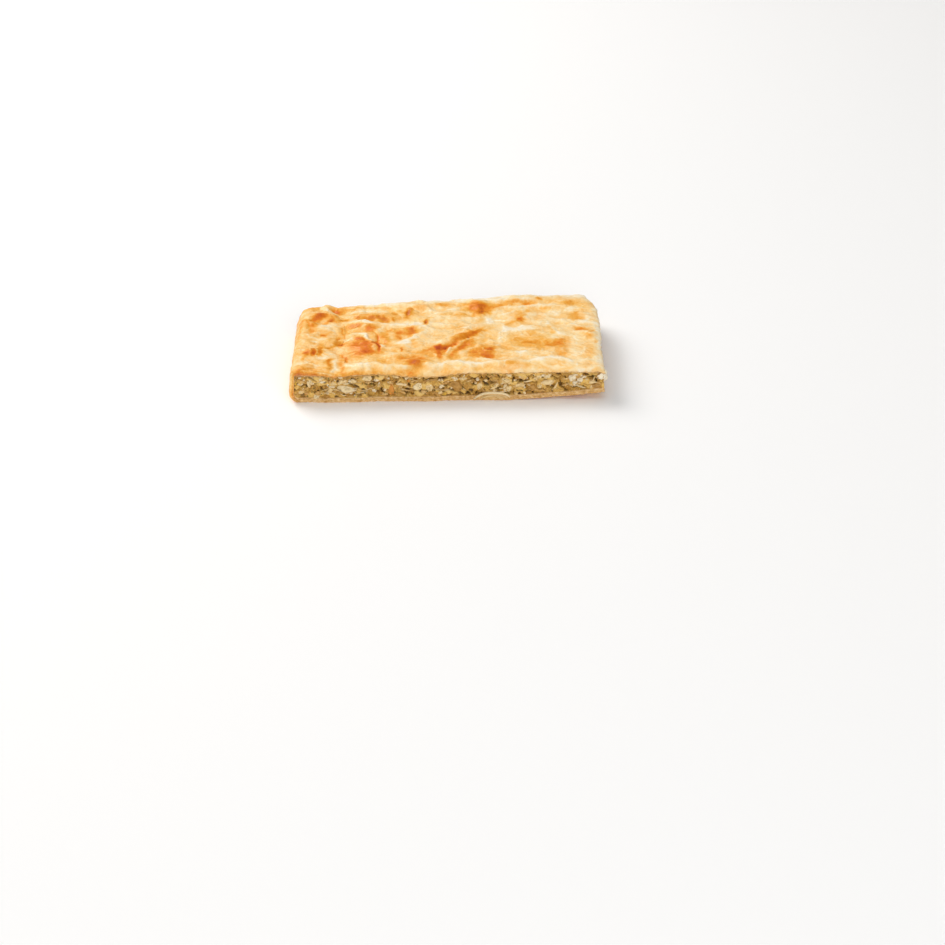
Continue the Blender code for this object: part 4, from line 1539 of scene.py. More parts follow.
    def _relief(self, x: Array, y: Array, z: Array, up: Array) -> Array:
        """Fine height of the case above its plan: blistered on top, streaky on the rim.

        Args:
            x: x of each point.
            y: y of each point.
            z: height of each point.
            up: upward part of the surface's direction at each point.

        Returns:
            The height at each point.
        """
        wall = GradientNoise(33)
        top = ease(up, 0.55, 0.95)
        under = ease(-up, 0.6, 0.95)
        blistered = self.surface.relief(x, y)
        streaks = 0.35 * wall.layered(y / 2.4, z / 9.0, x / 9.0, 3)
        streaks = streaks + 0.25 * wall.layered(x / 5.0, y / 5.0, z / 5.0 + 9.0, 2)
        pitted = -0.10 * np.abs(wall.layered(x / 2.2, y / 2.2, z / 2.2 + 20.0, 2))
        side = np.clip(1.0 - top - under, 0.0, 1.0)
        return top * blistered + side * streaks + under * pitted

    def _browning(self, x: Array, y: Array, z: Array, up: Array) -> tuple[Array, Array]:
        """How far the case is baked: as the lid on top, even tan on the rim and the underside.

        Args:
            x: x of each point.
            y: y of each point.
            z: height of each point.
            up: upward part of the surface's direction at each point.

        Returns:
            The browning and its tone at each point.
        """
        wall = GradientNoise(34)
        top = ease(up, 0.35, 0.9)
        bake_top, tone_top = self.surface.browning(x, y)
        side = self.rim_bake + 0.18 * wall.layered(y / 3.0, z / 8.0, x / 8.0, 3)
        side = side + 0.12 * wall.layered(x / 9.0, y / 9.0, z / 9.0 + 4.0, 2)
        side = side + 0.14 * (1.0 - ease(z, 0.0, 5.0))
        tone = 0.3 + 0.5 * wall.layered(x / 11.0, y / 9.0, z / 9.0 + 14.0, 2)
        return blend(side, bake_top, top), blend(np.clip(tone, 0.0, 1.0), tone_top, top)


# ---------------------------------------------------------------- filling


class Bit(enum.Enum):
    """What shows at a marked place of the front cut."""

    # Painted shade: a hollow is coloured dark as the shade in it.
    HOLLOW = "a dark gap between pieces"
    HEART = "a smooth piece of artichoke heart"
    STALK = "a darker, golden-brown piece"
    CHEESE = "a pale crumb of cheese"
    CARROT = "an orange piece"
    PEPPER = "a yellow piece"


@dataclass(frozen=True)
class CutMark(Oval):
    """One piece or gap of the front cut, where x and y are its middle along the cut and up."""

    bit: Bit

    def share(self, x: Array, z: Array) -> Array:
        """1 inside its oval and 0 outside, with a soft rim."""
        return 1.0 - ease(np.sqrt(self.reach(x, z)), 0.55, 1.25)


# Each row: x, height above the table, length, height of the piece and turn.
CUT_MARKS = tuple(
    CutMark(*row, bit)
    for bit, rows in {
        Bit.HOLLOW: (
            (-83, 17.2, 4.5, 2, -10), (-79.5, 16, 3, 1.2, 0), (-66.8, 17.2, 3.4, 1.6, 20),
            (-61, 17.2, 2.6, 2.4, -30), (-64, 13.6, 2.2, 1.8, 40), (-72, 13.4, 2.4, 1.4, 0),
            (-57, 12, 3.6, 3.4, 40), (-53.6, 10.3, 4.4, 1.8, -30), (-54.5, 15.4, 4.6, 1.2, 0),
            (-45.5, 12.3, 6, 1.7, -12), (-47.8, 11.8, 2.2, 2, 0), (-50, 7.6, 2, 2.6, 0),
            (-89.6, 8.4, 2, 1.8, 0), (-84, 8, 1.8, 1.6, 0), (-76, 6.8, 1.8, 1.8, 30),
            (-65.5, 3.4, 1.8, 2, 0), (-60.8, 4.3, 3.6, 1.2, -30), (-44.5, 16, 2.6, 1.6, 0),
            (-41.5, 17, 3, 1.1, -20), (-38, 13, 3.2, 1.1, 20), (-25.5, 14.5, 3.8, 1.5, -20),
            (-24.5, 7.2, 3.4, 2.4, -20), (-16, 6.6, 4.8, 2, 0), (-23.5, 10.5, 1.6, 2.8, 20),
            (-9, 8, 1.2, 3.6, 10), (-4.6, 14.8, 6, 2.2, 14), (-4.6, 6.2, 3, 1.3, 0),
            (1.5, 7.2, 5, 2.2, -18), (5.8, 5, 5, 1.7, -30), (9.8, 3.9, 3.2, 1.7, -10),
            (11.8, 6, 3, 2.6, -40), (13.8, 10.2, 3.4, 1.4, 10), (14.5, 4, 1.6, 2.2, -20),
            (20.4, 10.6, 5.2, 2, -28), (23.2, 12.4, 4.8, 1.9, -45), (24, 6.4, 4.6, 1, 0),
            (36.5, 13.4, 1.4, 3.4, -20), (42, 12.4, 4.4, 1.4, 0), (37, 8.2, 1.2, 2.8, 0),
            (39.8, 6, 4, 1.1, 0), (39.8, 3.2, 2.2, 3.6, 0), (44.5, 13.4, 1.8, 2, 0),
            (55, 14.8, 9, 1.4, 0), (62.5, 16, 4, 1.4, -10), (58.6, 7.6, 2.6, 1.5, 0),
            (71, 13.8, 1.4, 1.8, 0), (73.2, 11.7, 1.4, 1.8, 0), (73.6, 8.6, 5, 1.6, -22),
            (78, 16, 3.4, 1.4, -10), (80.6, 14.2, 4, 1.4, 0), (84.2, 12, 1.4, 4, 0),
        ),
        Bit.HEART: (
            (-60, 9, 9, 5.4, -15), (-48, 15.2, 6, 4.6, 10), (-61.5, 13.6, 5, 2.6, 10),
            (-77, 3.6, 3.4, 4.6, -30), (-81, 12, 2.4, 5, 10), (-18.6, 9.6, 5.6, 4.4, 15),
            (-28, 11.2, 6, 2.6, 0), (-12, 9, 4, 5, 20), (32, 13, 5, 4, -15), (40, 9.3, 6.4, 3, 5),
            (33.4, 7.4, 4.4, 3.4, 20), (56.5, 11, 9, 3.2, 4), (51.5, 8.6, 3.4, 3, -20),
            (81, 11.2, 5, 2.6, 0), (16.8, 9, 3.6, 5, -30), (7.5, 14.2, 4.5, 2.2, 0),
        ),
        Bit.STALK: (
            (4, 9.4, 9.5, 6.4, -28), (46.5, 8, 5, 5, 0), (84, 8.4, 6, 2.6, 0), (-71.5, 3.2, 5, 3, 0),
            (-2, 12, 4, 3, 0),
        ),
        Bit.CARROT: (
            (-33.8, 7.6, 3.4, 7.6, -5), (-24, 13.2, 1.8, 1.6, 0),
        ),
        Bit.PEPPER: (
            (-3.4, 4.4, 3.2, 1.9, 10), (-88.8, 12.5, 1.6, 2.4, 0),
        ),
        Bit.CHEESE: (
            (-86.2, 16.2, 2.2, 1.6, 0), (-62.6, 16.2, 2.6, 1.6, 0), (-68, 10.5, 4, 1.6, 0),
            (-73, 13.6, 3.6, 1.8, 0), (-57.5, 13.9, 2.2, 1.8, 0), (-55.5, 8, 4.6, 2.4, 10),
            (-78.6, 12.5, 1.6, 1.8, 0), (-43.5, 7, 2.8, 2.2, 0), (-42, 14, 3.4, 2, 0),
            (-37.6, 7.5, 2, 2.2, 0), (-26, 11, 2.6, 1.8, 0), (2, 14.8, 3, 1.6, 10),
            (-5.4, 9.6, 2.4, 3, 0), (70, 13.9, 4.6, 4.2, 0), (74.6, 12.8, 4, 3.6, 20),
            (71.8, 10.8, 3.6, 2.6, 0), (76.8, 14.6, 2.6, 2, 0), (72, 16.2, 3.4, 1.8, 0),
            (15.8, 13.6, 2.2, 2, 0),
        ),
    }.items()
    for row in rows
)


@dataclass
class ChoppedFilling:
    """Core of the filling, with the chopped pieces that the knife cut through as its relief."""

    plan: SlicePlan
    columns: int = 600
    rows: int = 270
    layers: int = 44
    cap_step: int = 10
    recess: float = 0.7
    tuck: float = 0.6  # how far it reaches into the pastry, so that no slit shows
    piece_depth: float = 1.7
    crumb_depth: float = 0.6
    hollow_depth: float = 1.5
    sinking: float = 0.35  # brings the mean of the relief back to the cut
    gap_width: float = 0.24  # as a share of the large cells
    fine_gap_width: float = 0.34  # as a share of the small cells
    mean_tint: float = 0.48
    stalk_tint: float = 0.25
    marked_tint: float = 0.68
    corner_width: float = 2.0  # how far from a corner its points start to turn outwards
    large: ChoppedCells = field(default_factory=lambda: ChoppedCells(41, (5.4, 4.5, 3.6)))
    small: ChoppedCells = field(default_factory=lambda: ChoppedCells(42, (2.1, 2.0, 1.5)))

    def relief(self, points: Array) -> tuple[Array, Array, Array]:
        """Relief of the cut filling.

        Args:
            points: places on the flat cut.

        Returns:
            How far each point stands out, its tint and how deep in a gap it lies, which is painted as
            shade.
        """
        warp = GradientNoise(43)
        x, y, z = points[:, 0], points[:, 1], points[:, 2]
        shifts = (0.0, 9.0, 18.0)
        drifts = [warp.layered(x / 3.4, y / 3.4, z / 2.8 + shift, 2) for shift in shifts]
        drift = np.stack(drifts, axis=-1)
        moved = points + 1.2 * drift
        near, apart, number = self.large(moved)
        fine_near, fine_apart, fine_number = self.small(moved + 0.5 * drift)
        smooth = ease(number, 0.6, 0.8)
        loose = ease(warp(x / 5.0, y / 5.0, z / 3.5 + 27.0), -0.15, 0.4)
        gap = (1.0 - ease(apart, 0.0, self.gap_width)) * (0.25 + 0.75 * loose)
        fine_gap = 1.0 - ease(fine_apart, 0.0, self.fine_gap_width)
        fine_gap = fine_gap * (1.0 - 0.8 * smooth)
        dome = 1.0 - np.minimum(near, 1.0) ** 2
        fine_dome = 1.0 - np.minimum(fine_near, 1.0) ** 2
        own = 1.1 * (number - 0.5)
        out = 0.6 * dome + own - self.piece_depth * gap
        out = out + self.crumb_depth * (1.0 - smooth) * (fine_dome - 0.5 - 0.8 * fine_gap)
        turn = 12.0 * number
        fibres = (x + y) / 0.8 * np.cos(turn) + z / 0.8 * np.sin(turn)
        grain = warp.layered(fibres, turn, z / 6.0, 2)
        out = out + 0.22 * grain
        # Painted shade: points deep in a gap are coloured towards the dark gap colour.
        deep = np.clip(0.75 * gap * (0.3 + 0.7 * loose) + 0.22 * fine_gap - 0.15 * own, 0.0, 1.0)
        tint = self.mean_tint + 0.34 * (number - 0.5)
        tint = tint + 0.26 * (fine_number - 0.5) * (1.0 - 0.6 * smooth)
        tint = tint + 0.10 * grain
        at_x, at_z = x + 0.45 * drift[:, 0], z + 0.45 * drift[:, 2]
        front = 1.0 - ease(y - self.plan.front_cut(x), 1.0, 3.0)
        for mark in CUT_MARKS:
            share = front * mark.share(at_x, at_z)
            # A hollow is sunk and also painted dark as shade.
            if mark.bit is Bit.HOLLOW:
                out = out - self.hollow_depth * share
                deep = np.maximum(deep, 0.9 * share)
            else:
                out = blend(out, 0.25 + 0.2 * grain, 0.8 * share)
                deep = deep * (1.0 - 0.8 * share)
                own_tint = self.stalk_tint if mark.bit is Bit.STALK else self.marked_tint
                tint = blend(tint, own_tint, 0.7 * share)
        return out - self.sinking, tint, deep

    def build(self, material: bpy.types.Material) -> bpy.types.Object:
        """Makes the core.

        Args:
            material: filling finish.

        Returns:
            The core.
        """
        plan = self.plan
        grid = ClosedGrid(self.columns, self.rows, self.layers, self.cap_step, self.cap_step)
        spots, level = grid.places()
        along, deep = spots[:, 0] / self.columns, spots[:, 1] / self.rows
        y = blend(plan.front_cut_y + self.recess, plan.back_cut_y_at_right - self.recess, deep)
        x = blend(plan.rim_x + plan.case_thickness, plan.right_cut(y) - self.recess, along)
        y = blend(plan.front_cut(x) + self.recess, plan.back_cut(x) - self.recess, deep)
        low = plan.floor_height(x) + plan.case_thickness - 0.5 * self.tuck
        high = plan.lid_underside(x, y) + self.tuck
        z = blend(high, low, level)
        x = blend(plan.case_inside(y, z) - self.tuck, plan.right_cut(y) - self.recess, along)
        points = np.stack([x, y, z], axis=-1)
        side_x, side_y = grid.sides(spots)
        right = side_x > 0.0
        turn = 1.0 - ease(plan.right_cut(y) - self.recess - x, 0.0, self.corner_width)
        out_x = np.where(right, 1.0, turn * np.abs(side_y))
        to_front = 1.0 - ease(y - plan.front_cut(x) - self.recess, 0.0, self.corner_width)
        to_back = 1.0 - ease(plan.back_cut(x) - self.recess - y, 0.0, self.corner_width)
        out_y = np.where(right, to_back - to_front, side_y)
        length = np.maximum(np.hypot(out_x, out_y), 1e-6)
        shown = ((side_y != 0.0) | right) & (level > 0.0) & (level < 1.0)
        out, tint, depth = self.relief(points)
        held = np.minimum(ease(level, 0.0, 0.06), ease(1.0 - level, 0.0, 0.06))
        out = np.where(shown, out * (0.35 + 0.65 * held), 0.0)
        points[:, 0] += out * out_x / length
        points[:, 1] += out * out_y / length
        # depth carries the painted gap shade, on the cut faces only.
        values = {"tint": tint, "depth": np.where(shown, depth, 0.0)}
        return make_piece("filling_core", points, grid.faces(), material, values)


# ---------------------------------------------------------------- loose pieces of the filling


@dataclass(frozen=True)
class Lump:
    """A lump round the origin: its points, its faces and how far each point is swollen."""

    points: Array
    faces: Array
    swelling: Array


class PieceHeap:
    """Many small pieces of one kind, gathered into one mesh."""

    def __init__(self) -> None:
        """Starts empty."""
        self._points: list[Array] = []
        self._faces: list[Face] = []
        self._tints: list[Array] = []
        self._depths: list[Array] = []
        self._count = 0

    def add(self, points: Array, faces: Array, tint: Any, depth: Any) -> None:
        """Adds one piece.

        Args:
            points: its points in millimetres.
            faces: its faces, numbered from 0.
            tint: tint of the piece or of each point.
            depth: how deep the piece or each point lies in a gap, which is painted as shade.
        """
        self._faces += (faces + self._count).tolist()
        self._points.append(points)
        self._tints.append(np.broadcast_to(tint, len(points)))
        self._depths.append(np.broadcast_to(depth, len(points)))
        self._count += len(points)

    def add_lump(self, lump: Lump, points: Array, tint: float) -> None:
        """Adds a lump with its points in place, with painted shade where it hollows in and painted light
        where it swells.
        """
        shade = np.clip(-0.5 * lump.swelling, 0.0, 0.35)
        self.add(points, lump.faces, tint + 0.12 * lump.swelling, shade)

    def build(self, name: str, material: bpy.types.Material) -> bpy.types.Object:
        """Makes the heap's object."""
        # depth carries the painted gap shade.
        values = {"tint": np.concatenate(self._tints), "depth": np.concatenate(self._depths)}
        return make_piece(name, np.concatenate(self._points), self._faces, material, values)


def round_lump(detail: int) -> tuple[Array, Array]:
    """Points and triangles of a unit ball.

    Args:
        detail: how often its faces are divided.

    Returns:
        Points and faces.
    """
    ball = bmesh.new()
    bmesh.ops.create_icosphere(ball, subdivisions=detail, radius=1.0)
    points = np.array([point.co for point in ball.verts])
    faces = np.array([[point.index for point in face.verts] for face in ball.faces])
    ball.free()
    return points, faces


def strip(
    line: Array, widths: Array, thicknesses: Array, across: Array, sides: int = 10
) -> tuple[Array, Array]:
    """A closed strip with a flat oval section along a line.

    Args:
        line: points of its middle line.
        widths: its width at each point.
        thicknesses: its thickness at each point.
        across: direction of its width at each point.
        sides: points round its section, an even number.

    Returns:
        Points and four-cornered faces.
    """
    tangent = np.gradient(line, axis=0)
    tangent /= np.linalg.norm(tangent, axis=1, keepdims=True)
    across = across - (across * tangent).sum(axis=1, keepdims=True) * tangent
    across /= np.linalg.norm(across, axis=1, keepdims=True)
    up = np.cross(tangent, across)
    angle = 2.0 * math.pi * np.arange(sides) / sides
    rings = line[:, None, :] + 0.5 * (
        across[:, None, :] * (widths[:, None] * np.cos(angle))[..., None]
        + up[:, None, :] * (thicknesses[:, None] * np.sin(angle))[..., None]
    )
    faces: list[Face] = []
    for ring in range(len(line) - 1):
        for side in range(sides):
            start, after = ring * sides, (side + 1) % sides
            faces.append([start + side, start + after, start + sides + after, start + sides + side])
    last = (len(line) - 1) * sides
    for end in (list(range(sides))[::-1], list(range(last, last + sides))):
        faces += [[end[0], *end[place : place + 3]] for place in range(1, sides - 2, 2)]
    return rings.reshape(-1, 3), np.array(faces)


@dataclass(frozen=True)
class HeartLeaf:
    """One arched leaf of a slice of artichoke heart, with x and height from the slice's foot."""

    points: tuple[tuple[float, float], ...]
    thickness: float
    stand_out: float
    tint: float


HEART_LEAVES = (
    HeartLeaf(
        ((-11, 1), (-8.6, 2.9), (-5.2, 4.5), (-0.5, 5), (5, 4.6), (8.6, 3.1), (10.2, 1)),
        1.5, 0.7, 0.95,
    ),
    HeartLeaf(((-7, 1), (-5, 2.4), (-1, 3.2), (3.6, 2.9)), 0.9, 0.7, 0.72),
    HeartLeaf(((0.5, 1.2), (3.4, 2), (6.6, 2.4), (8.4, 1.2)), 0.9, 0.8, 0.62),
)


@dataclass
class CutPlace:
    """A place on one of the knife cuts, with the directions along it and out of it."""

    point: Vector
    along: Vector
    out: Vector


@dataclass
class FillingPieces:
    """The chopped pieces that stand out of the cut filling."""

    plan: SlicePlan
    seed: int = 51
    recess: float = 0.9
    chunks_per_mm: float = 0.5
    petals_per_mm: float = 0.45
    curds_per_mm: float = 0.22
    golden_bits_per_mm: float = 0.03
    herbs_per_mm: float = 0.5
    corner_curd: tuple[float, float, float] = (86.9, -39.6, 14.2)
    corner_curd_size: tuple[float, float, float] = (3.7, 5.4, 3.2)
    heart_flesh_tint: float = 0.50
    heart_leaf_width: float = 1.8
    # Cut, distance along it, scale and lift of each slice of heart. The photograph shows the first
    # one, and the others are guessed.
    hearts: tuple[tuple[Side, float, float, float], ...] = (
        (Side.FRONT, 24.5, 1.0, 0.0),
        (Side.BACK, -30.0, 0.8, 2.5),
        (Side.BACK, 48.0, 0.72, 3.0),
        (Side.RIGHT, 14.0, 0.68, 2.2),
    )

    def __post_init__(self) -> None:
        """Starts the random draws."""
        self._draw = np.random.default_rng(self.seed)

    def _on_cut(self, side: Side, distance: float, height: float) -> CutPlace:
        """The place at this distance along a cut, at this share of the filling's height.

        Args:
            side: the cut.
            distance: x along a long cut, or y along the short one.
            height: from 0 at the bottom of the filling to 1 at its top.

        Returns:
            The place.
        """
        plan, at = self.plan, np.float64(distance)
        if side is Side.RIGHT:
            x, y = float(plan.right_cut(at)) - self.recess, distance
            along, out = (0.0, 1.0, 0.0), (1.0, 0.0, 0.0)
        elif side is Side.FRONT:
            x, y = distance, float(plan.front_cut(at)) + self.recess
            along, out = (1.0, 0.0, 0.0), (0.0, -1.0, 0.0)
        else:
            x, y = distance, float(plan.back_cut(at)) - self.recess
            along, out = (-1.0, 0.0, 0.0), (0.0, 1.0, 0.0)
        low = float(plan.floor_height(np.float64(x))) + plan.case_thickness
        high = float(plan.lid_underside(np.float64(x), np.float64(y)))
        return CutPlace(Vector((x, y, blend(low, high, height))), Vector(along), Vector(out))

    def _scattered(self, share: float, margin: float) -> Iterator[CutPlace]:
        """Places drawn evenly over the three cuts.

        Args:
            share: pieces for each millimetre of cut.
            margin: share of the height kept clear at the top and the bottom.

        Yields:
            The places, cut by cut.
        """
        plan = self.plan
        spans = (
            (Side.FRONT, plan.rim_x + 5.0, plan.right_cut_x - 2.0),
            (Side.RIGHT, plan.front_cut_y + 2.0, plan.back_cut_y_at_right - 3.0),
            (Side.BACK, plan.rim_x + 8.0, plan.right_cut_x - 9.0),
        )
        for side, start, end in spans:
            for _ in range(int(share * (end - start))):
                distance = self._draw.uniform(start, end)
                yield self._on_cut(side, distance, self._draw.uniform(margin, 1.0 - margin))

    def _turned(self, points: Array, place: CutPlace, turn: Euler) -> Array:
        """Turns points whose x runs along the cut, y up and z out of it, and puts them in place."""
        basis = np.array([place.along, Vector((0.0, 0.0, 1.0)), place.out])
        return points @ np.array(turn.to_matrix()).T @ basis + np.array(place.point)

    def _lump(self, size: tuple[float, float, float], detail: int, rough: float, cuts: int) -> Lump:
        """Shapes a chopped lump round the origin.

        Args:
            size: half its length, height and depth.
            detail: how finely it is divided.
            rough: how uneven its surface is.
            cuts: how many flat chopped sides it has.

        Returns:
            The lump.
        """
        points, faces = round_lump(detail)
        noise = GradientNoise(int(self._draw.integers(1, 9999)))
        swelling = noise.layered(*(points * 1.3).T, 3)
        shape = points * (1.0 + rough * swelling)[:, None]
        for _ in range(cuts):
            normal = self._draw.normal(size=3)
            normal /= np.linalg.norm(normal)
            beyond = np.maximum(0.0, shape @ normal - self._draw.uniform(0.45, 0.8))
            shape = shape - 0.85 * beyond[:, None] * normal
        return Lump(shape * np.array(size), faces, swelling)

    def _chopped(
        self, heap: PieceHeap, place: CutPlace, size: tuple[float, float, float], detail: int,
        tint: float, rough: float, cuts: int,
    ) -> None:
        """Adds a chopped lump that lies as it fell.

        Args:
            heap: heap that gets it.
            place: its middle.
            size: half its length, height and depth.
            detail: how finely it is divided.
            tint: its tint.
            rough: how uneven its surface is.
            cuts: how many flat chopped sides it has.
        """
        lump = self._lump(size, detail, rough, cuts)
        spin, lean = self._draw.uniform(-0.5, 0.5, size=2)
        turn = Euler((spin, lean, self._draw.normal() * 0.5))
        heap.add_lump(lump, self._turned(lump.points, place, turn), tint)

    def chunks(self) -> PieceHeap:
        """Gathers chopped artichoke hearts and stalks.

        Returns:
            The chunks.
        """
        heap = PieceHeap()
        self._marked(heap, Bit.HEART, 0.75, 0.2, 3)
        self._marked(heap, Bit.STALK, 0.08, 0.25, 3)
        for place in self._scattered(self.chunks_per_mm, 0.06):
            length = self._draw.uniform(0.9, 2.3)
            size = (length, length * self._draw.uniform(0.45, 0.8), self._draw.uniform(0.5, 1.1))
            detail = 3 if length > 1.9 else 2
            self._chopped(heap, place, size, detail, self._draw.uniform(0.15, 0.95), 0.28, 3)
        return heap

    def _marked(self, heap: PieceHeap, bit: Bit, tint: float, rough: float, cuts: int) -> None:
        """Adds the lumps of one kind that are marked on the front cut.

        Args:
            heap: heap that gets them.
            bit: their kind.
            tint: their mean tint.
            rough: how uneven their surface is.
            cuts: how many flat chopped sides each has.
        """
        for mark in CUT_MARKS:
            if mark.bit is not bit:
                continue
            place = self._on_cut(Side.FRONT, mark.x, 0.5)
            place.point.z = mark.y
            depth = min(1.2, 0.35 * min(mark.length, mark.width) + 0.35)
            size = (0.5 * mark.length, 0.5 * mark.width, depth)
            shade = tint + self._draw.uniform(-0.12, 0.12)
            lump = self._lump(size, 4 if mark.length > 5.0 else 3, rough, cuts)
            turn = Euler((0.0, 0.0, math.radians(mark.turn)))
            heap.add_lump(lump, self._turned(lump.points, place, turn), shade)

    def curds(self) -> PieceHeap:
        """Gathers soft white cheese, crumbled, with the large curd at the front right corner.

        Returns:
            The curds.
        """
        heap = PieceHeap()
        self._marked(heap, Bit.CHEESE, 0.55, 0.35, 2)
        for place in self._scattered(self.curds_per_mm, 0.08):
            length = self._draw.uniform(0.5, 1.3)
            size = (length, length * self._draw.uniform(0.6, 1.0), length * 0.7)
            self._chopped(heap, place, size, 2, self._draw.uniform(0.0, 0.8), 0.35, 1)
        x, y, z = self.corner_curd
        corner = self._on_cut(Side.RIGHT, y, 0.5)
        corner.point.x, corner.point.z = x, z
        self._chopped(heap, corner, self.corner_curd_size, 4, 1.0, 0.16, 2)
        return heap

    def petals(self) -> PieceHeap:
        """Gathers thin artichoke petals and shreds that the knife left lying across the cut.

        Returns:
            The petals.
        """
        heap = PieceHeap()
        steps = np.linspace(-1.0, 1.0, 12)
        for place in self._scattered(self.petals_per_mm, 0.12):
            length = self._draw.uniform(1.6, 4.2)
            bend = self._draw.uniform(-0.9, 0.9)
            sweep = (length * steps, bend * (1.0 - steps**2), 0.35 * np.cos(2.0 * steps))
            taper = np.sqrt(np.clip(1.0 - np.abs(steps) ** 3, 0.03, 1.0))
            width = self._draw.uniform(0.5, 1.4) * taper
            twist = self._draw.uniform(-1.2, 1.2)
            across = np.stack([0.0 * steps, np.cos(twist * steps), np.sin(twist * steps)], axis=-1)
            points, faces = strip(np.stack(sweep, axis=-1), width, 0.28 + 0.2 * taper, across)
            turn = Euler((0.0, self._draw.uniform(-0.25, 0.25), self._draw.normal() * 0.45))
            tint, shade = self._draw.uniform(0.0, 0.9), self._draw.uniform(0.0, 0.25)
            heap.add(self._turned(points, place, turn), faces, tint, shade)
        return heap

    def heart_slices(self) -> PieceHeap:
        """Gathers slices of artichoke heart: a lobed outline round thinner inner leaves.

        Returns:
            The slices.
        """
        heap = PieceHeap()
        for side, distance, scale, lift in self.hearts:
            self._heart(heap, side, distance, scale, lift)
        return heap

    def _heart(self, heap: PieceHeap, side: Side, distance: float, scale: float, lift: float) -> None:
        """Adds one slice of heart.

        Args:
            heap: heap that gets it.
            side: cut that it shows at.
            distance: its middle along the cut.
            scale: its size, where the largest slice is 1.
            lift: how far it lies above the bottom crust's lower face.
        """
        place = self._on_cut(side, distance, 0.0)
        floor = float(self.plan.floor_height(np.float64(place.point.x)))
        place.point.z = floor + lift
        flesh = self._lump((9.4 * scale, 2.0 * scale, 0.9), 4, 0.12, 0)
        middle = np.array([0.0, 2.5 * scale, 0.0])
        placed = self._turned(flesh.points + middle, place, Euler())
        heap.add_lump(flesh, placed, self.heart_flesh_tint)
        for leaf in HEART_LEAVES:
            line = smooth_line(leaf.points)
            part = np.linspace(0.0, 1.0, len(line))
            taper = np.sqrt(np.clip(np.sin(math.pi * part), 0.05, 1.0))
            line = np.column_stack([scale * line, np.full(len(line), leaf.stand_out)])
            across = np.tile([0.0, 0.0, 1.0], (len(line), 1))
            width, thickness = self.heart_leaf_width * taper, leaf.thickness * (0.4 + 0.6 * taper)
            points, faces = strip(line, width, thickness, across, 14)
            heap.add(self._turned(points, place, Euler()), faces, leaf.tint, 0.04)

    def herbs(self) -> PieceHeap:
        """Gathers flecks of chopped herb.

        Returns:
            The flecks.
        """
        heap = PieceHeap()
        steps = np.linspace(-1.0, 1.0, 5)
        thickness = np.full(len(steps), 0.14)
        across = np.tile([0.0, 1.0, 0.3], (len(steps), 1))
        for place in self._scattered(self.herbs_per_mm, 0.04):
            length = self._draw.uniform(0.25, 0.75)
            line = np.stack([length * steps, 0.1 * steps**2, 0.1 * steps], axis=-1)
            width = self._draw.uniform(0.3, 0.7) * np.sqrt(np.clip(1.0 - steps**2, 0.1, 1.0))
            points, faces = strip(line, width, thickness, across, 6)
            place.point += 0.55 * place.out
            turn = Euler((self._draw.uniform(-0.6, 0.6), 0.0, self._draw.uniform(-1.5, 1.5)))
            placed = self._turned(points, place, turn)
            heap.add(placed, faces, self._draw.uniform(0.0, 1.0), 0.0)
        return heap

    def golden_bits(self) -> PieceHeap:
        """Gathers bits of carrot and yellow pepper.

        Returns:
            The bits.
        """
        heap = PieceHeap()
        self._marked(heap, Bit.CARROT, 0.85, 0.2, 2)
        self._marked(heap, Bit.PEPPER, 0.12, 0.2, 2)
        for place in self._scattered(self.golden_bits_per_mm, 0.15):
            size = self._draw.uniform(0.5, 1.1)
            tint = self._draw.uniform(0.0, 1.0)
            self._chopped(heap, place, (size, 0.7 * size, 0.9), 2, tint, 0.25, 2)
        return heap


# ---------------------------------------------------------------- studio


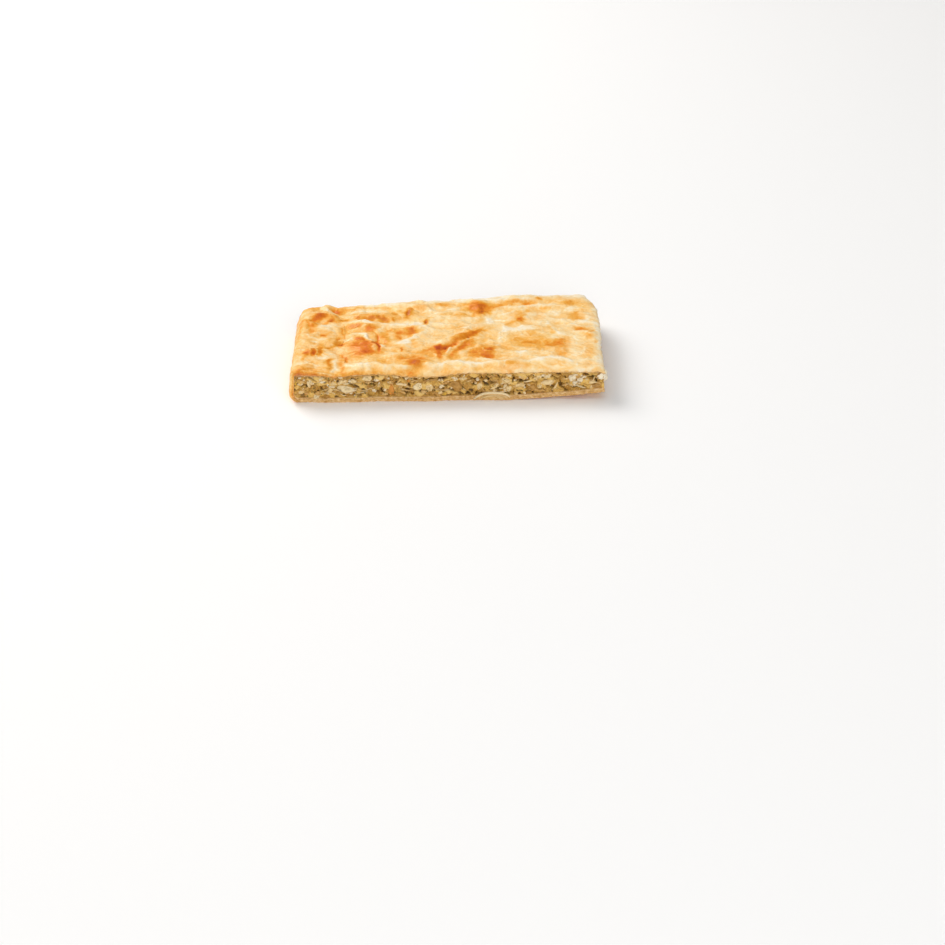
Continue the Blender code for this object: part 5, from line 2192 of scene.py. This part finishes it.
@dataclass
class Studio:
    """Pale floor, soft lamps and the camera."""

    lens_mm: float = 85.0
    sensor_mm: float = 36.0
    elevation: float = math.radians(33.5)
    roll: float = math.radians(-0.8)
    target_to_camera: tuple[float, float, float] = (-13.052, -63.408, 1319.078)
    frame_offset_y: float = 3.8
    floor_reach: float = 3000.0
    sky_strength: float = 0.18
    # Name, place and side in metres, watts and colour of each lamp.
    lamps: tuple[tuple[str, tuple[float, float, float], float, float, str], ...] = (
        ("key_softbox", (-1.24, 1.00, 1.48), 1.35, 36.0, "FFFCF8"),
        ("top_softbox", (0.10, -0.20, 2.50), 2.2, 17.0, "FFFFFF"),
        ("front_softbox", (0.50, -2.00, 0.84), 1.6, 22.0, "FFFFFF"),
    )

    def camera(self) -> None:
        """Places the camera at the photograph's height, distance and slight roll."""
        low, high = math.sin(self.elevation), math.cos(self.elevation)
        right = Vector((1.0, 0.0, 0.0))
        down = Vector((0.0, -low, -high))
        ahead = Vector((0.0, high, -low))
        turn = Matrix.Rotation(self.roll, 3, "Z")
        rows = turn @ Matrix((right, down, ahead))
        shift = Vector(self.target_to_camera)
        centre = -(rows.transposed() @ shift) - Vector((0.0, self.frame_offset_y, 0.0))
        axes = Matrix((rows[0], -rows[1], -rows[2])).transposed()
        lens = bpy.data.cameras.new("camera")
        lens.lens, lens.sensor_width = self.lens_mm, self.sensor_mm
        lens.clip_start, lens.clip_end = 0.01, 20.0
        holder = bpy.data.objects.new("camera", lens)
        holder.matrix_world = Matrix.Translation(centre * MM) @ axes.to_4x4()
        bpy.context.scene.collection.objects.link(holder)
        bpy.context.scene.camera = holder

    def lamp(
        self, name: str, place: tuple[float, float, float], size: float, power: float, color: str
    ) -> None:
        """Hangs one soft lamp that points at the slice.

        Args:
            name: name of the lamp.
            place: where it hangs, in metres.
            size: side of its square face, in metres.
            power: its power in watts.
            color: sRGB hex colour.
        """
        light = bpy.data.lights.new(name, "AREA")
        light.shape, light.size, light.energy = "SQUARE", size, power
        light.color = linear(color)[:3]
        holder = bpy.data.objects.new(name, light)
        holder.location = place
        holder.rotation_euler = (-Vector(place)).to_track_quat("-Z", "Y").to_euler()
        bpy.context.scene.collection.objects.link(holder)

    def floor(self, material: bpy.types.Material) -> bpy.types.Object:
        """Lays the pale floor.

        Args:
            material: the floor's finish.

        Returns:
            The floor.
        """
        half = self.floor_reach
        corners = [(-half, -half, 0.0), (half, -half, 0.0), (half, half, 0.0), (-half, half, 0.0)]
        floor = make_piece("floor", np.array(corners), [[0, 1, 2, 3]], material, {})
        floor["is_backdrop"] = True
        return floor

    def build(self) -> None:
        """Sets up the whole studio."""
        self.floor(MattPaint().material())
        for lamp in self.lamps:
            self.lamp(*lamp)
        world = bpy.data.worlds.new("studio_white")
        world.use_nodes = True
        background = world.node_tree.nodes["Background"]
        background.inputs["Color"].default_value = linear("FFFFFF")
        background.inputs["Strength"].default_value = self.sky_strength
        bpy.context.scene.world = world
        bpy.context.scene.view_settings.view_transform = "Standard"
        self.camera()


# ---------------------------------------------------------------- putting it together


def dress(piece: bpy.types.Object, slot: Slot, *nodes: str) -> None:
    """Ties a piece to the slice's body and reports it.

    Args:
        piece: the piece.
        slot: material slot of the record; not used.
        nodes: solids that the piece stands for.
    """
    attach(piece, "root")
    if nodes:
        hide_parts(*nodes)
    LOG.info("%s: %d faces", piece.name, len(piece.data.polygons))


def build_slice() -> None:
    """Builds the pastry, the filling and its loose pieces."""
    plan = SlicePlan()
    surface = BakedSurface(plan)
    lid_finish = EggWashedShortcrust("egg_washed_shortcrust")
    case_finish = EggWashedShortcrust("baked_shortcrust", roughness=0.52, wash=0.12)
    dress(BakedLid(plan, surface).build(lid_finish.material()), Slot.LID, "top_crust")
    dress(FoldedCase(plan, surface).build(case_finish.material()), Slot.CASE, "bottom_crust")
    mash = MoistChopped(
        "chopped_artichoke_mash",
        ((0.0, "A06C26"), (0.3, "CA943C"), (0.55, "E2B45A"), (0.8, "F0CC80"), (1.0, "F8E0AE")),
    ).material()
    flesh = MoistChopped(
        "artichoke_flesh",
        ((0.0, "B07E34"), (0.35, "D6A65C"), (0.65, "E8C688"), (1.0, "F6E2B6")),
        fibre_mm=0.8,
    ).material()
    cheese = MoistChopped(
        "soft_white_cheese",
        ((0.0, "DDC191"), (0.5, "EDD7AE"), (1.0, "FAEDD0")),
        fibre_mm=0.45,
        tint_swing=0.06,
    ).material()
    herb = MoistChopped(
        "chopped_herb", ((0.0, "3A3A16"), (0.5, "5B5B22"), (1.0, "7C7A34")), tint_swing=0.2
    ).material()
    golden = MoistChopped(
        "golden_vegetable", ((0.0, "D2B23A"), (0.5, "DEA040"), (1.0, "DC8E38")), tint_swing=0.16
    ).material()
    dress(ChoppedFilling(plan).build(mash), Slot.FILLING, "filling")
    pieces = FillingPieces(plan)
    kinds: tuple[tuple[str, Callable[[], PieceHeap], bpy.types.Material], ...] = (
        ("artichoke_chunks", pieces.chunks, flesh),
        ("artichoke_petals", pieces.petals, flesh),
        ("artichoke_heart_slices", pieces.heart_slices, flesh),
        ("cheese_curds", pieces.curds, cheese),
        ("golden_bits", pieces.golden_bits, golden),
        ("herb_flecks", pieces.herbs, herb),
    )
    for name, gather, material in kinds:
        dress(gather().build(name, material), Slot.FILLING)


def main() -> None:
    """Builds the slice and its studio, and measures the sizes."""
    logging.basicConfig(level=logging.INFO, format="%(message)s")
    build_slice()
    Studio().build()
    boxes = {"cad": CAD_BOX, "visual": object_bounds()}
    {title: [list(corner) for corner in box] for title, box in boxes.items()}


if __name__ == "__main__":
    main()
